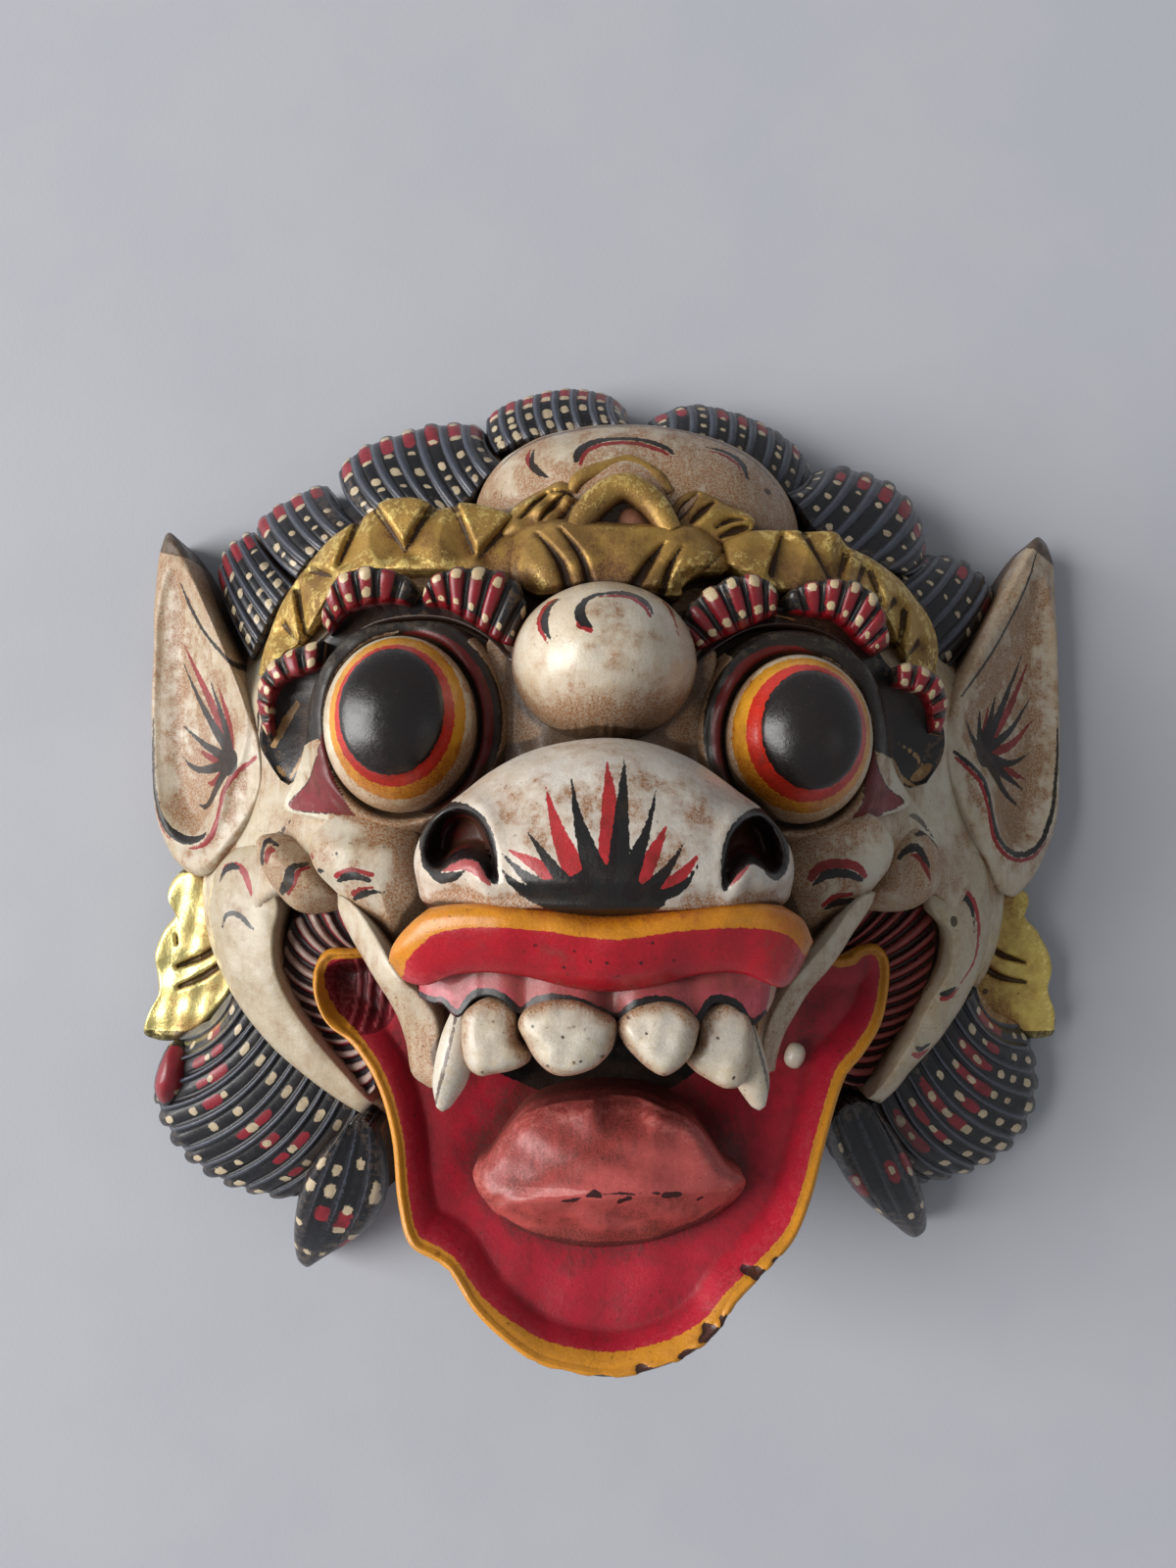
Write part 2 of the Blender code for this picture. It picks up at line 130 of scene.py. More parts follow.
def oval(middle, size, count=40):
    """Points round an upright ellipse."""
    turn = np.linspace(0, 2 * np.pi, count, endpoint=False)
    return np.column_stack([middle[0] + size[0] * np.cos(turn), middle[1] + size[1] * np.sin(turn)])


def uneven(x, y, size, depth, seed):
    """Hand-cut unevenness: the sum of six long waves whose directions come from the seed."""
    draw = np.random.default_rng(seed)
    total = np.zeros_like(x)
    for turn, phase, length in draw.uniform([0, 0, 0.6], [2 * np.pi, 2 * np.pi, 1.6], (6, 3)):
        total += np.sin((x * np.cos(turn) + y * np.sin(turn)) * 2 * np.pi / (size * length) + phase)
    return depth * total / 3


def any_of(*fields):
    """The greatest of several distances at each point: a point inside any of them counts as inside."""
    return np.maximum.reduce(fields)


def flat(rings):
    """The x and y of points."""
    return rings[..., :2]


def xy(points):
    """x of points, and y of them."""
    return points[..., 0], points[..., 1]


def pairs(x, y):
    """x and y joined into points."""
    return np.stack([x, y], axis=-1)


def raised(at, height):
    """Flat points lifted to their heights."""
    return np.concatenate([at, height[..., None]], axis=-1)


def to_segments(at, line):
    """For each point, the distance to every straight stretch of a line, and the share along it."""
    a, b = line[:-1], line[1:]
    for start, end in zip(a, b):
        way = end[:2] - start[:2]
        share = np.clip(((at - start[:2]) @ way) / max(way @ way, 1e-9), 0, 1)
        yield np.hypot(*np.moveaxis(at - start[:2] - share[..., None] * way, -1, 0)), share, start, end


def near(at, points, margin):
    """Which of the points at lie in the box round the given points, grown by a margin."""
    low, high = points[:, :2].min(axis=0) - margin, points[:, :2].max(axis=0) + margin
    return ((at > low) & (at < high)).all(axis=-1)


def widened(points, widths):
    """The points, each with its own half width after it."""
    return [(*point, width) for point, width in zip(points, widths)]


def stroke(at, path, samples=22):
    """Distance inside a brush stroke along points of x, y and half width: the half width there less the
    distance to the curve through them."""
    line = curve_through(path, samples, closed=False)
    found = np.full(at.shape[:-1], FAR_OUTSIDE)
    close = near(at, line, STROKE_REACH)
    best = found[close]
    for away, share, start, end in to_segments(at[close], line):
        best = np.maximum(best, start[2] + share * (end[2] - start[2]) - away)
    found[close] = best
    return found


def strokes(at, *paths):
    """The nearest of several brush strokes."""
    return any_of(*[stroke(at, path) for path in paths])


def dots(at, size, places):
    """Distance inside the nearest of some round dots: the size less the distance to its middle."""
    return any_of(*[size - np.hypot(at[..., 0] - x, at[..., 1] - y) for x, y in places])


def area(at, outline, samples=80):
    """Distance inside a closed outline, negative outside it.  A point is inside when a line from it
    crosses the edge an odd number of times."""
    edge = curve_through(outline, samples)
    edge = np.concatenate([edge, edge[:1]])
    found = np.full(at.shape[:-1], FAR_OUTSIDE)
    close = near(at, edge, AREA_REACH)
    here = at[close]
    away = np.full(len(here), -FAR_OUTSIDE)
    crossed = np.zeros(len(here), bool)
    for distance, _, start, end in to_segments(here, edge):
        away = np.minimum(away, distance)
        spans = (start[1] > here[:, 1]) != (end[1] > here[:, 1])
        rise = end[1] - start[1] if abs(end[1] - start[1]) > 1e-9 else 1e-9
        crossed ^= spans & (here[:, 0] < (end[0] - start[0]) * (here[:, 1] - start[1]) / rise + start[0])
    found[close] = np.where(crossed, away, -away)
    return found


def relief(outline, top, foot=0.4, step=FINE, middle=None, foot_scale=1.0, leaning=False):
    """A raised form over a flat outline: z = top(x, y, r), with r from 0 in the middle to 1 at the edge,
    then sides down to the foot, drawn in by foot_scale, and a flat underside."""
    count = int(length_of(outline) / step)
    edge = curve_through(outline, count)
    middle = edge.mean(axis=0) if middle is None else np.asarray(middle, float)
    rows = max(6, int(np.linalg.norm(edge - middle, axis=1).mean() / step))
    r = np.linspace(1 / rows, 1, rows)[:, None]
    spread = middle + r[..., None] * (edge - middle)
    x, y = xy(spread)
    height = top(x, y, np.broadcast_to(r, x.shape))
    front = raised(spread, height)
    low = foot(edge[:, 0], edge[:, 1]) if callable(foot) else np.full(count, float(foot))
    rim = front[-1]
    steps = max(4, int((rim[:, 2] - low).max() / WALL_STEP))
    down = (np.linspace(0, 1, steps + 1) ** 1.5)[1:, None]
    sides = middle + (1 + (foot_scale - 1) * down)[..., None] * (edge - middle)
    walls = raised(sides, rim[:, 2] + down * (low - rim[:, 2]))
    inner = middle + 0.6 * foot_scale * (edge - middle)
    low_inner = foot(inner[:, 0], inner[:, 1]) if callable(foot) else low
    under = raised(inner, low_inner)[None]
    rings = np.concatenate([front, walls, under])
    return lean(rings) if leaning else rings


def bar(path, rise, foot, step=0.42, across=17):
    """A rounded bar along a path of crest points, each x, y, height and half width: its cross-section is
    a half ellipse, rise high, over straight sides down to the foot level."""
    count = max(12, int(length_of(path, False) / step))
    line = curve_through(path, count, closed=False)
    way = np.gradient(line[:, :2], axis=0)
    way /= np.linalg.norm(way, axis=1)[:, None]
    side = np.column_stack([-way[:, 1], way[:, 0]])
    turn = np.linspace(-np.pi / 2, np.pi / 2, across)
    offset = np.concatenate([np.sin(turn), [0.97, 0.9, 0.0, -0.9, -0.97]])
    drop = np.concatenate([rise * (1 - np.cos(turn)), np.zeros(5)])
    spread = line[:, None, :2] + side[:, None] * (line[:, 3:4] * offset)[..., None]
    height = line[:, None, 2] - drop
    height[:, -4:-1] = foot
    height[:, [-5, -1]] = (height[:, [across - 1, 0]] + foot) / 2
    return raised(spread, height)


def lobe(outer, inner, swell, z_outer=0.0, z_inner=0.0, foot=0.4, step=0.42, bend=0.0, spread=0.0, ends=6,
         cords=0, cord=1.0, strand=0.5, scallop=0.0, duty=0.5, fade=0.08):
    """A cushion between two edge curves, crossed from one to the other by round cords with lower
    strands between them.  u runs 0 to 1 along the edges and v from the inner edge to the outer one.
    The height goes from z_inner to z_outer with a swell that is a flattened half circle in v and falls
    away at both ends in u.  bend carries the middle of each line sideways and spread widens the middle.
    Gives the rings, and u and v at every point of them."""
    rows = max(14, int(max(length_of(outer, False), length_of(inner, False)) / step))
    out_edge, in_edge = curve_through(outer, rows, False), curve_through(inner, rows, False)
    z_outer = z_outer + (out_edge[:, 2:3] if out_edge.shape[1] > 2 else 0)
    z_inner = z_inner + (in_edge[:, 2:3] if in_edge.shape[1] > 2 else 0)
    out_edge, in_edge = out_edge[:, :2], in_edge[:, :2]
    wide = np.linalg.norm(out_edge - in_edge, axis=1).mean()
    columns = max(10, int(wide / step))
    u = np.linspace(0, 1, rows)[:, None]
    v = np.concatenate([np.linspace(0, 1, columns), [1, 1, 1, 0.5, 0, 0]])[None, :]
    full = 1 - np.abs(2 * u - 1) ** ends
    phase = u * cords
    ridge, furrow = cord_shape(phase, duty) if cords else (0 * u, 0 * u)
    outward = v + scallop * furrow * smooth_step(v, 0.8, 1.0)
    at = in_edge[:, None] + outward[..., None] * (out_edge - in_edge)[:, None]
    way = out_edge - in_edge
    side = np.column_stack([-way[:, 1], way[:, 0]]) / np.linalg.norm(way, axis=1)[:, None]
    hump = 4 * v * (1 - v)
    at = at + side[:, None] * ((bend + spread * (1 - 2 * u)) * hump)[..., None]
    arch = np.sqrt(np.clip(1 - np.abs((v - 0.42) / 0.6) ** 2.6, 0, 1))
    height = z_inner + (z_outer - z_inner) * v + swell * arch * np.sqrt(full)
    height = height + (cord * ridge + strand * furrow) * smooth_step(1 - v, 0.0, fade)
    walls = height[:, columns - 1:columns]
    height = np.broadcast_to(height, (rows, v.shape[1])).copy()
    height[:, columns:columns + 2] = foot + (walls - foot) * np.array([0.66, 0.33])
    height[:, columns + 2:columns + 5] = foot
    height[:, -1:] = (foot + height[:, :1]) / 2
    rings = raised(at, height)
    return rings, np.broadcast_to(u, height.shape), np.broadcast_to(v, height.shape)


def cord_shape(phase, duty):
    """Two rounded profiles across one period: the cord about whole numbers, the strand about halves."""
    off = np.abs(phase - np.round(phase))
    ridge = np.sqrt(np.clip(1 - (off / (duty / 2)) ** 2, 0, 1))
    furrow = np.sqrt(np.clip(1 - ((0.5 - off) / (0.5 - duty / 2)) ** 2, 0, 1))
    return ridge, furrow


def ball(middle, size, z_middle, low_tilt=2.0, step=FINE):
    """An egg: points at a tilt from straight up and a turn round it."""
    rows = int(size[1] * low_tilt / step)
    tilt = np.linspace(0.02, low_tilt, rows)[:, None]
    turn = np.linspace(0, 2 * np.pi, int(2 * np.pi * size[1] / step), endpoint=False)[None, :]
    x = middle[0] + size[0] * np.sin(tilt) * np.cos(turn)
    y = middle[1] + size[1] * np.sin(tilt) * np.sin(turn)
    return np.stack([x, y, z_middle + size[2] * np.cos(tilt) + 0 * turn], axis=2)


# ------------------------ the list of pieces

PIECES = []


def carve(name, rings, paint, side=None, bare=0, **inks):
    """Notes one carved piece: its rings, the paint it takes, the side that ends its name, the row its
    bare wood starts at, and for each ink the distance inside its painted edge."""
    if side:
        name += "_" + SIDE_NAME[side]
    PIECES.append({"name": name, "rings": rings, "paint": paint, "bare": bare, "inks": inks})


def share_of(outline, middle):
    """A function of x and y that is 0 at the middle of a leaning outline, 1 on it and more outside: the
    distance from the middle over the outline's reach in that direction."""
    away = lean(curve_through(outline, 400)) - middle
    turn = np.arctan2(away[:, 1], away[:, 0])
    order = np.argsort(turn)
    turn, reach = turn[order], np.hypot(away[:, 0], away[:, 1])[order]

    def share(x, y):
        x, y = x - middle[0], y - middle[1]
        return np.hypot(x, y) / np.interp(np.arctan2(y, x), turn, reach, period=2 * np.pi)
    return share


RIGHT, LEFT = -1, 1     # the mask's own sides: its right is where x is below 0
SIDE_NAME = {RIGHT: "right", LEFT: "left"}


# ------------------------ the block, its hollow and the jaw

FACE = [(0, 78), (36, 77), (63, 68), (80, 52), (84, 30), (84, 5), (89, -10), (88, -24), (83, -36),
    (72, -50), (58, -60), (46, -66), (38, -70), (24, -75), (0, -76)]
HOLLOW = [(0, 52), (30, 49), (54, 36), (63, 16), (64, -8), (56, -32), (42, -48), (24, -60), (0, -63)]
FACE_MIDDLE = np.array([0.0, 4.0])
HOLLOW_MIDDLE = np.array([0.0, -2.0])
JAW_MIDDLE = np.array([0.0, -50.0])
JAW_RIM = [(-48.7, -23.5), (-57.1, -24.1), (-59.8, -27.7), (-59.8, -32.1), (-57.7, -36.6), (-55.1, -39.2),
    (-51.1, -41.6), (-46.6, -46.2), (-43.3, -51.3), (-40.5, -58.2), (-38.6, -66.7), (-35.7, -73.4),
    (-29, -76.7), (-23.8, -83.1), (-17.6, -88.2), (-11.9, -91.5), (-4.5, -93.2), (0.2, -93.7), (5.8, -93),
    (13.2, -90.6), (19.3, -86.6), (22.8, -82), (27.7, -77.9), (33.7, -72.8), (37.6, -66.7), (40.8, -59.7),
    (44.4, -52.1), (47.4, -47), (51, -43.9), (55.7, -38.2), (58.2, -31.3), (58.6, -26.3), (56.2, -23.1),
    (52.2, -23.5), (47.9, -25.5), (30, -20), (-30, -19)]
FAN_BED = [(-50, -11), (-62, -12), (-70, -17), (-71, -28), (-66, -40), (-54, -54), (-44, -60), (-36, -50),
    (-42, -24)]
FACE_POINTS = 480
UNDER_EYES = [(-50.5, 2.5), (48, 2)]
FACE_LINE = [(-70.5, 33, 0.1), (-73, 24, 0.4), (-74, 12, 0.1)]
FACE_DAB = [(-54.7, -3.9, 0.5), (-54.7, -2.5, 0.3)]
# Where the carver's knife stopped, filled with dark wax
CREASES = [[(-16.6, 22, 0.2), (-17.8, 14, 0.5), (-21.5, 8, 0.3)], [(15.8, 20, 0.2), (17, 13, 0.5),
    (20.5, 7.5, 0.3)], [(-62, 4, 0.1), (-66, 0, 0.5), (-69, -1, 0.1)], [(59, 4, 0.1), (63, 3, 0.6),
    (67, -1, 0.2)]]

face_share = share_of(both_halves(FACE), FACE_MIDDLE)


def jaw_rim_height(y):
    """The jaw's rim climbs from the mouth corners to the chin by a power of an S curve."""
    return MOUTH_CORNER_Z + (CHIN_Z - MOUTH_CORNER_Z) * smooth_step(-y, 24, 96) ** 0.8


def jaw_height(x, y):
    """The jaw from its rim inward, by the distance inside its outline: a rounded lip, then a bowl whose
    floor climbs from the mouth's depth to the chin."""
    inside = area(pairs(x, y), JAW_RIM, JAW_SAMPLES)
    rim = jaw_rim_height(y)
    floor = MOUTH_FLOOR_Z + 24 * smooth_step(-y, 42, 82)
    bowl = floor + (rim - 0.8 - floor) * (1 - smooth_step(inside, 1.6, 15))
    lip = rim - 1.4 * (1 - np.sqrt(np.clip(1 - ((inside - 1.3) / 1.3) ** 2, 0, 1)))
    return np.where(inside < 1.3, lip, np.minimum(bowl, rim)), inside


def face_height(x, y):
    """The block's front: a broad swell that falls away by a power of the share of the way out, less a
    straight slope over the brow."""
    r = np.clip(face_share(x, y), 0, 1)
    return RIM_TOP + FACE_RISE * (1 - r**3.2) - 0.1 * np.maximum(y - 30, 0)


def in_wood(x, y):
    """A foot just inside the block, for what stands over the hollow."""
    return face_height(x, y) - FOOT_IN_WOOD


def block_front(x, y):
    """The block's front with its seats: cut away under the jaw's bowl and under the fans."""
    height = face_height(x, y)
    bowl, inside = jaw_height(x, y)
    height = np.where(inside > -0.5, np.minimum(height, bowl - SEAT_DEPTH), height)
    for side in (RIGHT, LEFT):
        beside = area(pairs(x * -side, y), FAN_BED)
        height = height - FAN_SEAT * smooth_step(beside, -2.5, 3)
    return height


def hollow_height(x, y, r):
    """The ceiling of the hollow, shallower under the mouth, falling from its middle to its edge."""
    deep = HOLLOW_DEPTH - MOUTH_RISE * smooth_step(-y, 5, 20)
    return deep * np.interp(r, [0, 0.45, 0.72, 0.9, 1], [1, 0.95, 0.75, 0.45, 0.04])


def face_shell():
    """One closed skin: the carved front, the side, the flat back rim and the gouged hollow."""
    edge = lean(curve_through(both_halves(FACE), FACE_POINTS))
    turn = np.linspace(0.01, 1, 76)[:, None, None]
    front = FACE_MIDDLE + turn * (edge - FACE_MIDDLE)
    x, y = xy(front)
    height = block_front(x, y) + uneven(x, y, 22, 0.35, 3)
    height = height - 8 * smooth_step(turn[..., 0], 0.62, 0.86) * smooth_step(y, 26, 42)
    for swell_x, swell_y in UNDER_EYES:
        height = height + 5.0 * np.exp(-(((x - swell_x) / 14) ** 2 + ((y - swell_y) / 6) ** 2))
    front = raised(front, height)
    down = np.linspace(0, 1, 9)[1:, None]
    wall = np.broadcast_to(edge, (8, FACE_POINTS, 2)) * (1 - 0.02 * down[..., None])
    wall = raised(wall, front[-1, :, 2] * (1 - down) + BACK_Z * down)
    scoop = lean(curve_through(both_halves(HOLLOW), FACE_POINTS))
    rim = np.linspace(1, 0, 5)[1:, None, None]
    back = scoop + rim * (wall[-1, :, :2] - scoop)
    back = raised(back, np.full((4, FACE_POINTS), BACK_Z))
    turn = np.concatenate([[0.995], np.linspace(0.98, 0.02, 34)])[:, None, None]
    inner = HOLLOW_MIDDLE + turn * (scoop - HOLLOW_MIDDLE)
    x, y = xy(inner)
    gouged = hollow_height(x, y, turn[..., 0]) * (1 + uneven(x, y, 11, 0.035, 8)) + gouge_marks(x, y)
    ceiling = np.minimum(gouged, block_front(x, y) - WOOD_OVER_HOLLOW)
    inner = raised(inner, np.maximum(ceiling, BACK_Z))
    rings = np.concatenate([front, wall, back, inner])
    at = flat(rings)
    worn = uneven(*xy(at), 24, 1.5, 9) - 0.2
    carve("face_shell", rings, "cream", bare=len(front) + 5, black=stroke(at, FACE_LINE),
          red=stroke(at, FACE_DAB), gaps=strokes(at, *CREASES), stain=worn)


def gouge_marks(x, y):
    """Rows of shallow scoops left by a round gouge, pulled toward the chin."""
    row = x / 6.5 + 0.3 * np.sin(y / 9)
    pull = y / 11 + 0.37 * np.floor(row)
    return 0.9 * (np.abs(np.sin(np.pi * row)) ** 0.7 + 0.4 * np.abs(np.sin(np.pi * pull)))


CHIPS = [(9.9, -92.6, 5.2, 1.5), (26.2, -77.3, 2, 1.2), (18.7, -86.8, 2.4, 1.7), (-13.9, -91.2, 1.6, 0.8),
    (14.5, -89.9, 2.2, 1.3), (-1.5, -93.5, 3.4, 0.7), (-8, -92.6, 3, 0.6), (30.4, -75.4, 1, 0.6),
    (-28.6, -77.6, 0.6, 1.2), (20.8, -84.4, 1.3, 0.8)]
JAW_FOOT = 28.0
JAW_SAMPLES = 160
POCKET = [(-58, -28.3), (-58.2, -35), (-55.5, -38.5), (-49, -40.3), (-43.5, -38.2), (-41, -28), (-50, -25.5)]
# Where the jaw floor under the teeth is painted near black: a painted shadow of the deep mouth.
MOUTH_SHADOW = [(-24, -45.5), (-16, -49.5), (-7, -52), (4, -53), (12, -50.5), (20, -46), (25, -40), (22, -28),
    (-22, -28), (-25, -38)]


def jaw_foot(points):
    """The level of the jaw's underside: on the block, and down to the back plane at the chin."""
    return JAW_FOOT * smooth_step(points[..., 1], -80, -66)


def on_front(rings, field):
    """The field on the first rows of a piece, and far outside on the rest."""
    full = np.full(rings.shape[:2], FAR_OUTSIDE)
    full[:len(field)] = field
    return full


def jaw():
    """The lower jaw: the bowl of jaw_height with a sunk pocket at one corner, whose folds are the upper
    halves of a cosine wave, chips along the rim, and sides that draw in as they go down."""
    edge = curve_through(JAW_RIM, int(length_of(JAW_RIM) / 0.6))
    share = np.concatenate([np.linspace(0.02, 0.88, 74), np.linspace(0.89, 1, 16)])
    at = JAW_MIDDLE + share[:, None, None] * (edge - JAW_MIDDLE)
    x, y = xy(at)
    height, inside = jaw_height(x, y)
    height = height + uneven(x, y, 16, 0.45, 5) * smooth_step(inside, 2, 8)
    pocket = area(at, POCKET)
    height = height - 5 * smooth_step(pocket, -0.5, 3.5)
    folds = np.maximum(0, np.cos((x + 46.6) * 2 * np.pi / 2.5)) ** 0.8
    height = height + 1.6 * folds * smooth_step(x, -53, -50.5) * smooth_step(pocket, 0.2, 1.5)
    chips = any_of(*[1 - np.hypot((x - cx) / w, (y - cy) / h) for cx, cy, w, h in CHIPS])
    chips = chips + uneven(x, y, 2.6, 0.35, 12)
    height = height - 0.5 * smooth_step(chips, -0.1, 0.25)
    front = raised(at, height)
    down = (np.linspace(0, 1, 18) ** 1.8)[1:, None]
    drawn = JAW_MIDDLE + (1 - 0.2 * down[..., None] ** 1.2) * (edge - JAW_MIDDLE)
    sides = raised(drawn, front[-1, :, 2] * (1 - down) + jaw_foot(edge) * down)
    under = JAW_MIDDLE + np.array([0.55, 0.3])[:, None, None] * (edge - JAW_MIDDLE)
    under = raised(under, jaw_foot(under))
    rings = np.concatenate([front, sides, under])
    at = flat(rings)
    wide = 2.2 + 1.7 * smooth_step(-at[..., 1], 76, 92)
    on_top = np.arange(len(rings))[:, None] < len(front) + 3
    rim = np.where(on_top, wide - area(at, JAW_RIM, JAW_SAMPLES), FAR_OUTSIDE)
    chipped = np.concatenate([3 * chips, np.repeat(3 * chips[-1:] - 1, 2, axis=0)])
    fold = np.where(pocket > 0.3, (folds - 0.55) * (x > -52.5), FAR_OUTSIDE)
    # The near-black under the teeth is a painted shadow of the mouth's depth.
    carve("jaw", rings, "crimson", rim=rim, chips=on_front(rings, chipped), dark=on_front(rings, pocket),
          cavity=area(at, MOUTH_SHADOW), fold=on_front(rings, fold))


TONGUE = [(-24.8, -61.6), (-21.8, -58.6), (-18.6, -54.4), (-14.4, -50.6), (-7.5, -48.6), (0, -48),
    (8.5, -48.8), (15, -51.4), (18.8, -55.4), (21.8, -59.6), (25.4, -62.8), (22.6, -67.8), (15.7, -72.3),
    (6.6, -75), (-1, -75.7), (-9.7, -74.6), (-17.7, -70.8), (-22.9, -65.8)]
TONGUE_CREST = 73.6
TONGUE_CHIPS = [[(-8.2, -63.9, 0.15), (-6, -63.6, 0.4), (-4.6, -62.9, 0.1)], [(-3.8, -62.7, 0.2),
    (-2.3, -62.2, 0.7), (-1.2, -62.9, 0.2)], [(-1, -62.3, 0.1), (2.5, -62.2, 0.22), (5, -62.5, 0.15)],
    [(2, -64, 0.4), (3.8, -63.2, 0.5)], [(10.2, -63, 0.7), (12.7, -63.1, 0.6)], [(7.8, -62.2, 0.15),
    (9, -62.4, 0.35)], [(16.3, -64.6, 0.4), (17, -64.2, 0.3)]]


def tongue():
    """A leaf-shaped tongue: a back slope, a crest from tip to tip and a flat front slope, with a scoop
    and a facet cut into the back."""
    def crest_y(x):
        return -62.2 - 1.3 * (x / 22) ** 2 + 1.2 * x / 22

    def top(x, y, r):
        off = y - crest_y(x)
        back = 0.42 * np.maximum(off, 0)
        front = 0.62 * np.maximum(-off, 0)
        rounded = TONGUE_CREST - np.sqrt(back**2 + 0.2) - np.sqrt(front**2 + 0.2) - 0.010 * x**2
        edge = 1.8 * smooth_step(r, 0.86, 1.0) ** 2
        scoop = 3.2 * np.exp(-(((x - 3.2) / 4.6) ** 4) - ((y + 48.6) / 4.2) ** 2)
        facet = 1.2 * smooth_step(off - 0.5 * (x + 8), 2.5, 5.5)
        return rounded - edge - scoop - facet + uneven(x, y, 7, 0.3, 21)
    rings = relief(TONGUE, top, foot=JAW_FOOT, middle=(0, -62), foot_scale=0.96)
    at = flat(rings)
    x, y = xy(at)
    off = y - crest_y(x)
    # Partly dirt near the foot, mostly a painted shade over the front slope where the tongue turns down
    # toward the chin.
    band = np.minimum(area(at, TONGUE) + 0.5, 2.6 - np.abs(off + 10.4 - 0.006 * x**2))
    band = np.where(off < -1, np.maximum(band, -0.4), FAR_OUTSIDE)
    # A painted shade over the back of the tongue, where it runs in under the teeth.
    back = smooth_step(off - 0.35 * x, 1.0, 8.0) * 4.6 - 2.4
    # A pale stroke along the crest: a painted highlight.
    gleam = stroke(at, [(-21, -63.6, 0.1), (-16, -62.9, 0.55), (-9, -62.3, 0.7), (-3, -61.9, 0.1)])
    under = stroke(at, [(-20, -68.6, 0.2), (-15, -71.6, 0.9), (-8, -73.8, 1.3), (0, -74.6, 1.5),
                        (7, -74.2, 1.4), (12.5, -72.2, 1.3), (17, -69.6, 0.8), (20.5, -66.8, 0.2)])
    carve("tongue", rings, "tongue", chips=strokes(at, *TONGUE_CHIPS), dirt=band, back=back, gleam=gleam,
          under=under)


# ------------------------ the mouth: jaw block, lip, gum, teeth

UPPER_JAW = [(0, 6), (34, 2), (44, -8), (41, -16), (34, -22), (27.5, -28), (14, -29), (0, -29)]
LIP_TOP = [(-35.9, -19.2), (-35.2, -16.4), (-32.6, -13), (-28.5, -10), (-20.6, -8.7), (-10.9, -9.1),
    (0.3, -10.3), (9.5, -9.1), (18.8, -8.7), (25.8, -9.3), (30.6, -11.4), (33, -15.6)]
LIP_LOW = [(-35.6, -20.2), (-34.6, -21.6), (-32.9, -22.4), (-29.4, -22.4), (-24.5, -20.4), (-18.9, -19.8),
    (-13.1, -20.4), (-5.5, -22.2), (1, -22.7), (8, -21.6), (14.5, -20), (21, -20.2), (28.1, -22.9),
    (32.2, -19.6)]
SCALLOP = [(-31.5, -25), (-28.9, -25.6), (-27.3, -25.5), (-24.6, -27.3), (-22, -24.3), (-19.4, -23.5),
    (-16.9, -24.2), (-14.2, -26.2), (-11.3, -24.4), (-7.8, -24), (-3.7, -24.9), (0.9, -27.2), (3.9, -24.9),
    (7.5, -24.3), (11.1, -25.2), (13.8, -27.6), (16.2, -24.7), (18.2, -24.6), (20.5, -25.6), (22.8, -28.4),
    (25.5, -27)]
TOOTH_MIDDLES = (-27.5, -19.5, -7.2, 7.6, 18.6, 25.5)


def upper_jaw():
    """The block behind lip and gum, all but hidden: lower under the snout by an S curve, with steep
    straight flanks."""
    def top(x, y, r):
        swell = UPPER_JAW_Z - 0.004 * x**2 - 15 * smooth_step(y, -19, -9)
        slope = 3.0 * np.maximum(np.abs(x) - 26.5, 0)
        return np.maximum(swell - slope, 54) + uneven(x, y, 9, 0.3, 31) - 2.5 * smooth_step(r, 0.93, 1)
    rings = relief(both_halves(UPPER_JAW), top, foot=48, step=0.9, middle=(0, -12), foot_scale=0.94,
                   leaning=True)
    carve("upper_jaw", rings, "cream", pink=np.where(rings[..., 1] < -17, 3.0, FAR_OUTSIDE))


LIP_WIDTHS = (3.0, 3.3, 3.6, 3.6, 3.4, 3.3, 3.4, 3.5, 3.5, 3.6, 3.5, 2.6)
LIP_ENDS = [[(-36.6, -21.5, 2), (-36.6, -18, 2.8), (-33, -13.5, 3.2)], [(34.2, -18, 1.2), (33.8, -15, 2),
    (31, -12, 2.8)]]
LIP_PITS = [(-5.4, -15.6), (-3.2, -17.3), (4.7, -17.6), (9.7, -17.3), (6.4, -14.4), (-0.6, -17.4),
    (1.2, -19.6), (-11.6, -14.9), (-7.2, -18.3)]


def lip():
    """The upper lip: a cushion that falls away by the square of the distance to the middle, with a bell
    shaped swell in the middle."""
    rings, _, v = lobe(LIP_TOP, LIP_LOW, swell=5.2, z_outer=96.6, z_inner=91.0, foot=76, step=0.5, ends=7)
    x, y = xy(rings)
    top = rings[..., 2] > 80
    fall = 0.0125 * np.maximum(np.abs(x + 1) - 10, 0) ** 2
    middle = 1.2 * np.exp(-((x / 9) ** 2)) * smooth_step(v, 0, 0.3) * smooth_step(1 - v, 0, 0.3)
    rings[..., 2] += np.where(top, middle - fall + uneven(x, y, 12, 0.16, 41), 0)
    at = flat(rings)
    orange = any_of(stroke(at, widened(LIP_TOP, LIP_WIDTHS), 60), strokes(at, *LIP_ENDS))
    carve("upper_lip", rings, "lip", orange=orange, dull=(x - 25) * 0.7, pits=dots(at, 0.35, LIP_PITS))


SCALLOP_WIDTHS = (0.5, 0.7, 0.7, 0.75, 0.85, 0.75, 0.7, 0.6, 0.8, 0.9, 0.75, 0.7, 0.8, 0.95, 0.8, 0.7, 0.8,
    0.8, 0.7, 0.65, 0.3)
GUM_TOP = [(-33, -19.5), (-22, -17.5), (-8, -18), (8, -18), (20, -17.5), (27.5, -19)]
GUM_FOLDS = [[(-13.4, -20, 0.5), (-13.8, -24.6, 0.9)], [(1, -21, 0.5), (1, -26, 0.8)], [(13.6, -20, 0.3),
    (13.8, -25, 0.5)], [(-24.2, -21, 0.3), (-24.6, -26, 0.6)]]


